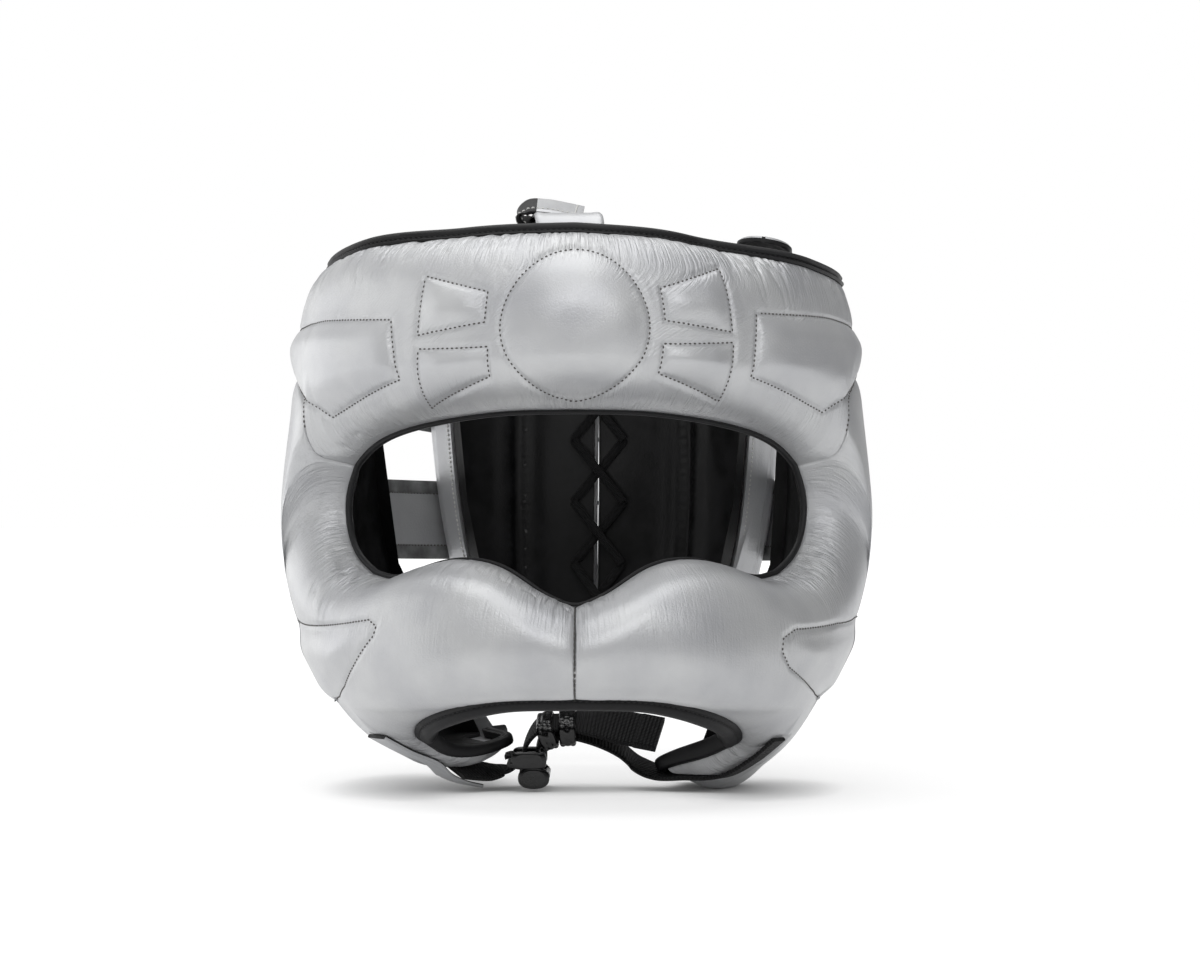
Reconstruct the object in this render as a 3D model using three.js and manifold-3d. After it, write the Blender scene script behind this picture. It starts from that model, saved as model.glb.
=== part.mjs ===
import * as THREE from 'three';
import Module from 'manifold-3d';

const wasm = await Module();
wasm.setup();

// Boxing headgear with a face bar, standing on its two jaw flaps.
// Millimetres, +Z up, the face looks along -Y, +X is the viewer's right.
// Places on the padding are given as an angle about the upright axis of the head hollow
// (0 at the front, positive towards +X, 180 at the back) and a height above the floor.

const AXIS_Y = 0.3;
const SEW_GAP = 0.4;
const SEAM_INSET = 0.55;
const LINING_GAP = 1.4;
const LINING_THICKNESS = 1.5;
const LINING_INSET = 2.8;
const STRAP_THICKNESS = 2.4;
const WEBBING_THICKNESS = 1.6;
const BED_DEPTH = 6;

// Radius of the head hollow at each height, every 30 degrees from the front to the back.
const STATION_STEP = 30;
const STATIONS = ['front', 'at30', 'at60', 'side', 'at120', 'at150', 'back'];
const HOLLOW = [
  { height: 5, front: 46, at30: 46, at60: 42, side: 46, at120: 45, at150: 58, back: 78 },
  { height: 12, front: 60, at30: 60, at60: 56, side: 57, at120: 56, at150: 66, back: 84 },
  { height: 20, front: 74, at30: 74, at60: 69.5, side: 66, at120: 64, at150: 75, back: 90 },
  { height: 28, front: 84, at30: 85, at60: 79, side: 72.5, at120: 70, at150: 82, back: 95 },
  { height: 42, front: 90, at30: 92, at60: 85, side: 78.5, at120: 76.5, at150: 90, back: 99 },
  { height: 62, front: 95, at30: 97, at60: 91.5, side: 84.5, at120: 81.5, at150: 95, back: 103 },
  { height: 85, front: 92, at30: 95, at60: 97, side: 90, at120: 87.5, at150: 100, back: 107 },
  { height: 117, front: 86, at30: 90, at60: 99, side: 94, at120: 91, at150: 104, back: 110 },
  { height: 150, front: 80, at30: 83, at60: 91, side: 92, at120: 91, at150: 104, back: 110 },
  { height: 186, front: 76, at30: 78, at60: 84, side: 88, at120: 91, at150: 102, back: 108 },
  { height: 210, front: 72, at30: 74, at60: 80, side: 85, at120: 88, at150: 97, back: 103 },
  { height: 228, front: 66, at30: 68, at60: 75, side: 81, at120: 84, at150: 92, back: 98 },
];

// Thickness of the padding at the front, at the cheeks and at the ear edge.
const PADDING = [
  { height: 5, front: 6, side: 11, ear: 11 },
  { height: 12, front: 7, side: 22.5, ear: 21 },
  { height: 20, front: 10, side: 21.5, ear: 20 },
  { height: 28, front: 20, side: 20, ear: 18.5 },
  { height: 42, front: 30, side: 21, ear: 18.5 },
  { height: 62, front: 33, side: 24, ear: 19.5 },
  { height: 85, front: 28, side: 26, ear: 20 },
  { height: 117, front: 24, side: 25.5, ear: 20 },
  { height: 150, front: 26, side: 26, ear: 20 },
  { height: 186, front: 29, side: 27, ear: 20 },
  { height: 210, front: 25, side: 24, ear: 20 },
  { height: 228, front: 20, side: 20, ear: 18 },
];
const CHEEK_FROM = 20;
const CHEEK_TO = 70;
const EAR_FROM = 84;
const EAR_TO = 104;

// The left jaw flap curls up towards its tip.
const CURL_HEIGHT = 9;
const CURL_BELOW = 19;
const CURL_SPAN = 14;

// Edges of the padding on the right half.
const EYE_UPPER = [
  { angle: 0, height: 153 },
  { angle: 18, height: 152.5 },
  { angle: 36, height: 149.7 },
  { angle: 50, height: 145.5 },
  { angle: 60, height: 139.5 },
  { angle: 67.5, height: 131.5 },
];
const EYE_LOWER = [
  { angle: 0, height: 76.5 },
  { angle: 7, height: 81.5 },
  { angle: 17, height: 91.5 },
  { angle: 27, height: 95 },
  { angle: 38, height: 91.5 },
  { angle: 48, height: 87.5 },
  { angle: 55, height: 89 },
];
const EYE_END = [
  { angle: 55, height: 89 },
  { angle: 62, height: 95 },
  { angle: 68.5, height: 106 },
  { angle: 70.5, height: 119 },
  { angle: 67.5, height: 131.5 },
];
const BROW_SEAM = [
  { angle: 67.5, height: 131.5 },
  { angle: 85, height: 156 },
  { angle: 101, height: 172 },
];
const CHIN_RIM = [
  { angle: 0, height: 43 },
  { angle: 17, height: 42.5 },
  { angle: 31, height: 37 },
  { angle: 43, height: 31 },
  { angle: 52, height: 25 },
];
const FLAP_FRONT = [
  { angle: 52, height: 25 },
  { angle: 54, height: 15 },
  { angle: 52, height: 5.5 },
];
const FLAP_TIP = [
  { angle: 52, height: 5.5 },
  { angle: 85, height: 5 },
  { angle: 118, height: 5.5 },
];
const TOP_EDGE = [
  { angle: 0, height: 220 },
  { angle: 30, height: 219 },
  { angle: 60, height: 215 },
  { angle: 97, height: 207 },
];

// How the padding rolls over at an edge: over this width, from this share of the thickness.
const EYE_ROLL = { width: 18, left: 0.14 };
const CHIN_ROLL = { width: 20, left: 0.3 };
const FLAP_ROLL = { width: 14, left: 0.42 };
const SEAM_ROLL = { width: 9, left: 0.76 };
const TOP_ROLL = { width: 24, left: 0.34 };
const EAR_ROLL = { width: 14, left: 0.45 };
const CENTRE_ROLL = { width: 6, left: 0.93 };

// Sewn panels that stand proud of the brow and the cheeks, on the right half.
const PANEL_RISE = 2.4;
const PANEL_SLOPE = 5;
const BROW_DISC = { height: 182, radiusAngle: 17, radiusHeight: 27.5, rise: 3 };
const BROW_UPPER_PANEL = [
  { angle: 36, height: 202.5 },
  { angle: 20, height: 195.5 },
  { angle: 20.3, height: 184 },
  { angle: 36.6, height: 179 },
];
const BROW_LOWER_PANEL = [
  { angle: 36.6, height: 174.5 },
  { angle: 19.6, height: 175 },
  { angle: 19.3, height: 163 },
  { angle: 36.3, height: 152 },
];
const BROW_SIDE_PANEL = [
  { angle: 43.6, height: 186.5 },
  { angle: 41.3, height: 161 },
  { angle: 62.5, height: 147 },
  { angle: 90, height: 171 },
  { angle: 90, height: 184 },
];
const CHEEK_PANEL = [
  { angle: 84, height: 76 },
  { angle: 41, height: 71 },
  { angle: 38, height: 66 },
  { angle: 41.5, height: 60.5 },
  { angle: 51, height: 51.5 },
  { angle: 84, height: 48 },
];

// Two back panels with a laced gap; the soft back sits turned towards +X.
const BACK_THICKNESS = 17;
const BACK_FLANGE = { thickness: 5, width: 14, slope: 14 };
const BACK_ROLL = { width: 8, left: 0.55 };
const BACK_LOW = 42;
const BACK_HIGH = 190;
const BACK_RIGHT = [
  { height: 42, near: 138, far: 173.3 },
  { height: 87, near: 132, far: 173.3 },
  { height: 143, near: 126, far: 173.3 },
  { height: 190, near: 122, far: 173.3 },
];
const BACK_LEFT = [
  { height: 42, near: -157, far: -183.5 },
  { height: 87, near: -151.5, far: -183.5 },
  { height: 143, near: -147, far: -183.5 },
  { height: 190, near: -144, far: -183.5 },
];
const LACE = { rightAngle: 168.6, leftAngle: -178.8, low: 60, step: 28, rows: 5, radius: 1.3, hole: 2.4 };

// Straps round the outside, from the ear edge of the shell to the back panels.
const SIDE_STRAP_RIGHT = [
  { angle: 95, low: 95, high: 127 },
  { angle: 108, low: 95, high: 127, rise: 20.6 },
  { angle: 128, low: 94, high: 126, rise: 17.8 },
  { angle: 150, low: 93, high: 125, rise: 17.6 },
];
const SIDE_STRAP_LEFT = [
  { angle: -95, low: 95, high: 127 },
  { angle: -108, low: 95, high: 127, rise: 20.6 },
  { angle: -146, low: 94, high: 126, rise: 17.8 },
  { angle: -166, low: 93, high: 125, rise: 17.6 },
];
const UPPER_STRAP_RIGHT = [
  { angle: 90, low: 160, high: 203 },
  { angle: 108, low: 158, high: 200, rise: 20.6 },
  { angle: 124, low: 150, high: 188, rise: 17.8 },
  { angle: 148, low: 142, high: 178, rise: 17.6 },
];
const UPPER_STRAP_LEFT = [
  { angle: -94, low: 160, high: 203 },
  { angle: -108, low: 158, high: 200, rise: 20.6 },
  { angle: -146, low: 148, high: 184, rise: 17.8 },
  { angle: -166, low: 142, high: 178, rise: 17.6 },
];

// Free straps and webbing: centre line, the compass turn of the width (0 along +X) and its slope.
const CROWN_WIDTH = 27;
const CROWN_STRAP = [
  { x: -2, y: -63, z: 206, turn: 0, slope: 0 },
  { x: -2.5, y: -57.8, z: 219, turn: 5, slope: 0 },
  { x: -4, y: -60, z: 228, turn: 14, slope: 0 },
  { x: -6, y: -65.5, z: 233.8, turn: 25, slope: 0 },
  { x: -9.5, y: -60, z: 237, turn: 25, slope: 0 },
  { x: -13, y: -47, z: 234.5, turn: 18, slope: 0 },
  { x: -13, y: -10, z: 230, turn: 2, slope: 0 },
  { x: -10, y: 50, z: 223, turn: -3, slope: 0 },
  { x: -8, y: 100, z: 205, turn: 0, slope: 0 },
  { x: -8, y: 124, z: 180, turn: 0, slope: 0 },
  { x: -8, y: 126, z: 158, turn: 0, slope: 0 },
];
const HOOK_WIDTH = 23;
const HOOK_STRAP = [
  { x: 49, y: 114.5, z: 168, turn: -24, slope: 0 },
  { x: 50, y: 113.7, z: 186, turn: -24, slope: 0 },
  { x: 62, y: 94, z: 205, turn: -24, slope: 0 },
  { x: 75, y: 56, z: 215.5, turn: -16, slope: -3 },
  { x: 79, y: 22, z: 219.5, turn: -6, slope: -6 },
  { x: 78, y: 4, z: 221.5, turn: -2, slope: -8 },
  { x: 77, y: -8, z: 224.2, turn: 0, slope: -9 },
];
const WEBBING_WIDTH = 20;
const SEWN_SHARE = 0.92;
const SEWN_ON = [
  { angle: 52, height: 31 },
  { angle: 53, height: 24 },
  { angle: 54, height: 17 },
];
const CHIN_WEBBING = [
  { x: 44, y: -31, z: 0.6, turn: 62, slope: 0 },
  { x: 33, y: -24, z: 2.3, turn: 76, slope: 8 },
  { x: 25, y: -20, z: 9.5, turn: 90, slope: 15 },
  { x: 17, y: -20, z: 16.5, turn: 90, slope: 15 },
  { x: 6, y: -21, z: 21.5, turn: 90, slope: 15 },
  { x: -4, y: -22, z: 23.6, turn: 90, slope: 15 },
  { x: -12, y: -22, z: 22, turn: 90, slope: 15 },
  { x: -15.6, y: -22, z: 17, turn: 90, slope: 4 },
  { x: -15.4, y: -22, z: 11, turn: 90, slope: 0 },
  { x: -18.4, y: -22, z: 7.9, turn: 90, slope: 0 },
  { x: -21.3, y: -22, z: 11, turn: 90, slope: 0 },
  { x: -20.6, y: -22, z: 18, turn: 90, slope: 4 },
  { x: -15, y: -22, z: 25.6, turn: 90, slope: 15 },
  { x: -4, y: -22, z: 27.2, turn: 90, slope: 15 },
  { x: 8, y: -23, z: 27.2, turn: 90, slope: 32 },
  { x: 20, y: -24, z: 25, turn: 90, slope: 38 },
  { x: 34, y: -26, z: 22.4, turn: 90, slope: 38 },
];
const PATCH_WIDTH = 24;
const STRAP_PATCH = [
  { x: -48, y: -35, z: 0.8, turn: 124, slope: 0 },
  { x: -40, y: -29, z: 0.8, turn: 122, slope: 0 },
];
const BUCKLE_STRAP = [
  { x: -55, y: -37, z: 6, turn: 100, slope: 18 },
  { x: -46, y: -30, z: 6.7, turn: 97, slope: 18 },
  { x: -38, y: -25, z: 7.2, turn: 93, slope: 16 },
  { x: -31, y: -22, z: 7.6, turn: 90, slope: 6 },
  { x: -26.6, y: -22, z: 8.4, turn: 90, slope: 0 },
  { x: -24, y: -22, z: 11.2, turn: 90, slope: 0 },
  { x: -26.3, y: -22, z: 14, turn: 90, slope: 0 },
  { x: -29, y: -22, z: 13.4, turn: 90, slope: 0 },
];
const BUCKLE_MIDDLE = -22;
const BUCKLE_DEPTH = 26;
const BUCKLE_BAR = 1.4;
const BUCKLE_BARS = [
  { x: -26.7, z: 11.3 },
  { x: -18.4, z: 10.9 },
  { x: -12, z: 6.5 },
];
const KEEPER = { width: 22.6, height: 8.4, wall: 1.2, length: 6.6, slope: 15 };
const KEEPERS = [
  { name: 'strap_keeper_left', x: -11.6, z: 23.8, lean: 20 },
  { name: 'strap_keeper_right', x: -3.6, z: 25.4, lean: 4 },
];

// Bindings: how far each one stands out of the edge that it covers, and the gap behind it.
const LINING_COVER = LINING_GAP + LINING_THICKNESS + 0.3;
const TOP_BINDING = 5.8;
const CHIN_BINDING = 4;
const CHIN_GAP = 0.9;
const FLAP_BINDING = 3.4;
const EAR_BINDING = 4.4;
const EYE_BINDING = 2.8;
const EYE_GAP = 0.9;
const EYE_COVER = 1.6;

// Facets: spans along each edge and rows across each piece.
const EYE_SPANS = 15;
const SEAM_SPANS = 6;
const CHIN_SPANS = 13;
const END_SPANS = 6;
const BROW_ROWS = 10;
const GUARD_ROWS = 10;
const LINING_ROWS = 5;
const CENTRE_ANGLE = 0.13;
const EYE_END_BEND = 28;

const LEATHER = { colour: 0xc3c6cc, roughness: 0.38, metalness: 0.25 };
const BLACK_LEATHER = { colour: 0x17181a, roughness: 0.55, metalness: 0 };
const LINING_CLOTH = { colour: 0x121316, roughness: 0.85, metalness: 0 };
const WEBBING = { colour: 0x141416, roughness: 0.8, metalness: 0 };
const PLASTIC = { colour: 0x0d0d0e, roughness: 0.25, metalness: 0 };

// Cubic through two values with their slopes.
function hermite(from, to, slopeFrom, slopeTo, t) {
  const a = 2 * t ** 3 - 3 * t ** 2 + 1;
  const b = t ** 3 - 2 * t ** 2 + t;
  const c = -2 * t ** 3 + 3 * t ** 2;
  const d = t ** 3 - t ** 2;
  return a * from + b * slopeFrom + c * to + d * slopeTo;
}

function easeBetween(from, to, at) {
  const t = THREE.MathUtils.clamp((at - from) / (to - from), 0, 1);
  return t * t * (3 - 2 * t);
}

// Smooth curve through the rows of a table: one column at a place along its key column.
function readColumn(rows, key, name, at) {
  const last = rows.length - 1;
  const up = rows[last][key] > rows[0][key] ? 1 : -1;
  let i = 0;
  while (i < last - 1 && up * at > up * rows[i + 1][key]) {
    i += 1;
  }
  const step = (k) => rows[k + 1][key] - rows[k][key];
  const rate = (k) => (rows[k + 1][name] - rows[k][name]) / step(k);
  const slope = (k) => {
    if (k === 0) {
      return rate(0);
    }
    if (k === last) {
      return rate(last - 1);
    }
    return (rate(k) * step(k - 1) + rate(k - 1) * step(k)) / (step(k - 1) + step(k));
  };
  const t = THREE.MathUtils.clamp((at - rows[i][key]) / step(i), 0, 1);
  return hermite(rows[i][name], rows[i + 1][name], slope(i) * step(i), slope(i + 1) * step(i), t);
}

function hollowRadius(angle, height) {
  const turned = Math.abs(angle) > 180 ? 360 - Math.abs(angle) : Math.abs(angle);
  const values = STATIONS.map((name) => readColumn(HOLLOW, 'height', name, height));
  const last = values.length - 1;
  const i = Math.min(Math.floor(turned / STATION_STEP), last - 1);
  const slope = (k) => (k === 0 || k === last ? 0 : (values[k + 1] - values[k - 1]) / 2);
  return hermite(values[i], values[i + 1], slope(i), slope(i + 1), turned / STATION_STEP - i);
}

function hollowPoint(angle, height) {
  const radius = hollowRadius(angle, height);
  const turn = THREE.MathUtils.degToRad(angle);
  const curled = angle < 0 ? (Math.max(CURL_BELOW - height, 0) / CURL_SPAN) ** 2 : 0;
  const z = height + CURL_HEIGHT * curled;
  return new THREE.Vector3(radius * Math.sin(turn), AXIS_Y - radius * Math.cos(turn), z);
}

function hollowNormal(angle, height) {
  const step = 0.5;
  const middle = THREE.MathUtils.clamp(height, HOLLOW[0].height + step, HOLLOW.at(-1).height - step);
  const across = hollowPoint(angle + step, height).sub(hollowPoint(angle - step, height));
  const up = hollowPoint(angle, middle + step).sub(hollowPoint(angle, middle - step));
  return across.cross(up).normalize();
}

function offHollow(angle, height, offset) {
  return hollowPoint(angle, height).addScaledVector(hollowNormal(angle, height), offset);
}

function paddingAt(angle, height) {
  const columns = ['front', 'side', 'ear'];
  const [front, side, ear] = columns.map((name) => readColumn(PADDING, 'height', name, height));
  const cheek = THREE.MathUtils.lerp(front, side, easeBetween(CHEEK_FROM, CHEEK_TO, Math.abs(angle)));
  return THREE.MathUtils.lerp(cheek, ear, easeBetween(EAR_FROM, EAR_TO, Math.abs(angle)));
}

function rollAt(distance, { width, left }) {
  const q = 1 - Math.min(distance / width, 1);
  return left + (1 - left) * Math.sqrt(1 - q * q);
}

// Evenly spaced places along a smooth curve through the rows of an edge table.
function edgeCurve(rows, count) {
  const placed = rows.map((row) => ({ ...row, along: 0 }));
  for (let i = 1; i < rows.length; i += 1) {
    const run = hollowPoint(rows[i].angle, rows[i].height);
    const length = run.distanceTo(hollowPoint(rows[i - 1].angle, rows[i - 1].height));
    placed[i].along = placed[i - 1].along + length;
  }
  const total = placed.at(-1).along;
  return Array.from({ length: count + 1 }, (_, i) => ({
    angle: readColumn(placed, 'along', 'angle', (total * i) / count),
    height: readColumn(placed, 'along', 'height', (total * i) / count),
  }));
}

function joinCurves(...curves) {
  return curves.flatMap((curve, i) => (i === 0 ? curve : curve.slice(1)));
}

function mirrorCurve(curve) {
  return curve.map(({ angle, height }) => ({ angle: -angle, height }));
}

// Grid of places between two edges, closer together near the edges and drawn in from them.
// A bend carries a column round the end of the eye opening.
function ruledGrid(bottom, top, rowCount, inset, bend = () => 0) {
  return bottom.map((low, i) => {
    const high = top[i];
    const length = hollowPoint(low.angle, low.height).distanceTo(hollowPoint(high.angle, high.height));
    const margin = inset / length;
    return Array.from({ length: rowCount + 1 }, (_, j) => {
      const v = margin + (1 - 2 * margin) * (0.5 - 0.5 * Math.cos((Math.PI * j) / rowCount));
      return {
        angle: THREE.MathUtils.lerp(low.angle, high.angle, v) + bend(i) * 2 * v * (1 - v),
        height: THREE.MathUtils.lerp(low.height, high.height, v),
      };
    });
  });
}

// Length along each column and each row of a grid of points.
function runLengths(points) {
  const along = points.map((column) => column.map(() => 0));
  const across = points.map((column) => column.map(() => 0));
  for (let i = 0; i < points.length; i += 1) {
    for (let j = 0; j < points[i].length; j += 1) {
      if (j > 0) {
        along[i][j] = along[i][j - 1] + points[i][j].distanceTo(points[i][j - 1]);
      }
      if (i > 0) {
        across[i][j] = across[i - 1][j] + points[i][j].distanceTo(points[i - 1][j]);
      }
    }
  }
  return { along, across };
}

// Rise of a sewn panel: full inside its outline, easing to nothing at the outline.
function panelRise(outline, angle, height) {
  const perDegree = 1.9;
  let inside = Infinity;
  const clockwise = outline.reduce((sum, a, k) => {
    const b = outline[(k + 1) % outline.length];
    return sum + (b.angle - a.angle) * (b.height + a.height);
  }, 0) > 0 ? 1 : -1;
  outline.forEach((a, k) => {
    const b = outline[(k + 1) % outline.length];
    const dx = (b.angle - a.angle) * perDegree;
    const dy = b.height - a.height;
    const cross = (dx * (height - a.height) - dy * (angle - a.angle) * perDegree) / Math.hypot(dx, dy);
    inside = Math.min(inside, -clockwise * cross);
  });
  return PANEL_RISE * easeBetween(0, PANEL_SLOPE, inside);
}

function browRise(angle, height) {
  const turned = Math.abs(angle);
  const { radiusAngle, radiusHeight, rise } = BROW_DISC;
  const far = Math.hypot(turned / radiusAngle, (height - BROW_DISC.height) / radiusHeight);
  const disc = rise * easeBetween(1, 0.72, far);
  const panels = [BROW_UPPER_PANEL, BROW_LOWER_PANEL, BROW_SIDE_PANEL];
  return Math.max(disc, ...panels.map((outline) => panelRise(outline, turned, height)));
}

function cheekRise(angle, height) {
  return panelRise(CHEEK_PANEL, Math.abs(angle), height);
}

// Inner and outer face of a padded piece whose edges roll over.
function padFaces(grid, rolls, rise) {
  const inner = grid.map((column) => column.map((place) => hollowPoint(place.angle, place.height)));
  const { along, across } = runLengths(inner);
  const lastColumn = grid.length - 1;
  const outer = grid.map((column, i) => column.map(({ angle, height }, j) => {
    const lastRow = column.length - 1;
    const toTop = along[i][lastRow] - along[i][j];
    const share = rollAt(along[i][j], rolls.bottom(i)) * rollAt(toTop, rolls.top(i));
    const ends = rollAt(across[i][j], rolls.start) * rollAt(across[lastColumn][j] - across[i][j], rolls.end);
    const thickness = paddingAt(angle, height) * share * ends + rise(angle, height) * share;
    const point = offHollow(angle, height, thickness);
    point.z = Math.max(point.z, 0);
    return point;
  }));
  const normals = grid.map((column) => column.map((place) => hollowNormal(place.angle, place.height)));
  return { inner, outer, normals };
}

function wallFaces(grid, near, far) {
  const face = (offset) => grid.map((column) => column.map(({ angle, height }) => {
    const shift = typeof offset === 'function' ? offset(angle, height) : offset;
    const point = offHollow(angle, height, shift);
    point.z = Math.max(point.z, 0);
    return point;
  }));
  return { inner: face(near), outer: face(far) };
}

function makeGeometry(points, triangles) {
  const geometry = new THREE.BufferGeometry();
  const places = points.flatMap(({ x, y, z }) => [x, y, z]);
  geometry.setAttribute('position', new THREE.Float32BufferAttribute(places, 3));
  let volume = 0;
  triangles.forEach(([a, b, c]) => {
    volume += points[a].dot(points[b].clone().cross(points[c]));
  });
  geometry.setIndex(triangles.flatMap(([a, b, c]) => (volume > 0 ? [a, b, c] : [a, c, b])));
  return geometry;
}

// Closed solid between two grids of the same size.
function solidBetween({ inner, outer }) {
  const columns = inner.length;
  const rows = inner[0].length;
  const points = [...inner.flat(), ...outer.flat()];
  const low = (i, j) => i * rows + j;
  const high = (i, j) => columns * rows + i * rows + j;
  const triangles = [];
  const quad = (a, b, c, d) => triangles.push([a, b, c], [a, c, d]);
  for (let i = 0; i < columns - 1; i += 1) {
    for (let j = 0; j < rows - 1; j += 1) {
      quad(high(i, j), high(i + 1, j), high(i + 1, j + 1), high(i, j + 1));
      quad(low(i, j), low(i, j + 1), low(i + 1, j + 1), low(i + 1, j));
    }
    quad(low(i, 0), low(i + 1, 0), high(i + 1, 0), high(i, 0));
    quad(low(i + 1, rows - 1), low(i, rows - 1), high(i, rows - 1), high(i + 1, rows - 1));
  }
  for (let j = 0; j < rows - 1; j += 1) {
    quad(low(0, j + 1), low(0, j), high(0, j), high(0, j + 1));
    quad(low(columns - 1, j), low(columns - 1, j + 1), high(columns - 1, j + 1), high(columns - 1, j));
  }
  return makeGeometry(points, triangles);
}

// Solid swept through rings of points, either closed on itself or with capped ends.
function solidSwept(rings, closed) {
  const sides = rings[0].length;
  const points = rings.flat();
  const triangles = [];
  const spans = closed ? rings.length : rings.length - 1;
  for (let i = 0; i < spans; i += 1) {
    const next = (i + 1) % rings.length;
    for (let k = 0; k < sides; k += 1) {
      const turn = (k + 1) % sides;
      triangles.push([i * sides + k, next * sides + k, next * sides + turn]);
      triangles.push([i * sides + k, next * sides + turn, i * sides + turn]);
    }
  }
  if (!closed) {
    const end = (rings.length - 1) * sides;
    for (let k = 1; k < sides - 1; k += 1) {
      triangles.push([0, k, k + 1]);
      triangles.push([end, end + k + 1, end + k]);
    }
  }
  return makeGeometry(points, triangles);
}

function toManifold(geometry) {
  const vertProperties = new Float32Array(geometry.getAttribute('position').array);
  const triVerts = new Uint32Array(geometry.index.array);
  return new wasm.Manifold(new wasm.Mesh({ numProp: 3, vertProperties, triVerts }));
}

function fromManifold(solid) {
  const mesh = solid.getMesh();
  const geometry = new THREE.BufferGeometry();
  geometry.setAttribute('position', new THREE.Float32BufferAttribute(mesh.vertProperties, 3));
  geometry.setIndex(Array.from(mesh.triVerts));
  return geometry;
}

function joined(geometries) {
  return fromManifold(geometries.map(toManifold).reduce((a, b) => a.add(b)));
}

function cut(geometry, tools) {
  return fromManifold(tools.map(toManifold).reduce((a, b) => a.subtract(b), toManifold(geometry)));
}

const group = new THREE.Group();
group.name = 'boxing_headgear';

function add(name, geometry, look) {
  const flat = geometry.toNonIndexed();
  flat.computeVertexNormals();
  const { colour, roughness, metalness } = look;
  const mesh = new THREE.Mesh(flat, new THREE.MeshStandardMaterial({ color: colour, roughness, metalness }));
  mesh.name = name;
  group.add(mesh);
}

// Centre line of a ribbon through the rows of its table, with the direction of its width.
function ribbonLine(rows, spans) {
  const stops = rows.map(({ x, y, z }) => new THREE.Vector3(x, y, z));
  const line = new THREE.CatmullRomCurve3(stops, false, 'centripetal');
  const count = spans * (rows.length - 1);
  const read = (name, t) => {
    const at = t * (rows.length - 1);
    const i = Math.min(Math.floor(at), rows.length - 2);
    return THREE.MathUtils.lerp(rows[i][name], rows[i + 1][name], at - i);
  };
  return Array.from({ length: count + 1 }, (_, k) => {
    const t = k / count;
    const turn = THREE.MathUtils.degToRad(read('turn', t));
    const slope = THREE.MathUtils.degToRad(read('slope', t));
    const along = line.getTangent(t);
    const wide = new THREE.Vector3(Math.cos(turn), Math.sin(turn), 0).multiplyScalar(Math.cos(slope));
    wide.z += Math.sin(slope);
    wide.addScaledVector(along, -wide.dot(along)).normalize();
    return { middle: line.getPoint(t), along, wide, face: along.clone().cross(wide) };
  });
}

// First rows of a strap that is sewn to the outside of a jaw flap on one side.
function sewnRows(sign) {
  return SEWN_ON.map(({ angle, height }) => {
    const { x, y, z } = offHollow(sign * angle, height, SEWN_SHARE * paddingAt(angle, height));
    return { x, y, z: Math.max(z, WEBBING_THICKNESS / 2), turn: sign > 0 ? angle : 180 - angle, slope: 0 };
  });
}

// Flat ribbon of a width and thickness, resting on the floor where it is low enough.
function ribbon(rows, width, thickness, spans) {
  const rings = ribbonLine(rows, spans).map(({ middle, wide, face }) => (
    [[-1, -1], [1, -1], [1, 1], [-1, 1]].map(([a, b]) => {
      const point = middle.clone().addScaledVector(wide, (a * width) / 2);
      point.addScaledVector(face, (b * thickness) / 2);
      point.z = Math.max(point.z, 0);
      return point;
    })
  ));
  return solidSwept(rings, false);
}

// Room that a ribbon presses into the padding: its own space with a gap, and all beyond its outer face.
function ribbonBed(rows, width, thickness, spans, outward) {
  const line = ribbonLine(rows, spans);
  const rings = line.map(({ middle, along, wide, face }, k) => {
    const end = (k === line.length - 1 ? SEW_GAP : 0) - (k === 0 ? SEW_GAP : 0);
    return [[-1, -1], [1, -1], [1, 1], [-1, 1]].map(([a, b]) => {
      const reach = b === outward ? BED_DEPTH : thickness / 2 + SEW_GAP;
      const point = middle.clone().addScaledVector(along, end);
      return point.addScaledVector(wide, a * (width / 2 + SEW_GAP)).addScaledVector(face, b * reach);
    });
  });
  return solidSwept(rings, false);
}

// Cord along straight runs between stops that lie about in one level plane.
function cord(stops, radius, sides) {
  const rings = stops.map((stop, i) => {
    const before = stops[Math.max(i - 1, 0)];
    const after = stops[Math.min(i + 1, stops.length - 1)];
    const along = after.clone().sub(before).normalize();
    const side = along.clone().cross(new THREE.Vector3(0, 0, 1)).normalize();
    const up = side.clone().cross(along);
    const inner = i > 0 && i < stops.length - 1;
    const turnIn = inner ? stop.clone().sub(before).angleTo(after.clone().sub(stop)) / 2 : 0;
    return Array.from({ length: sides }, (_, k) => {
      const turn = (2 * Math.PI * (k + 0.5)) / sides;
      const point = stop.clone().addScaledVector(side, (radius * Math.cos(turn)) / Math.cos(turnIn));
      return point.addScaledVector(up, radius * Math.sin(turn));
    });
  });
  return solidSwept(rings, false);
}

// One edge of a padded piece, as a list of its inner and outer points and the normals there.
function edgeOf({ inner, outer, normals }, pick) {
  const points = pick(inner);
  const faces = pick(outer);
  const directions = pick(normals);
  return points.map((point, i) => ({ point, face: faces[i], normal: directions[i] }));
}

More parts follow.
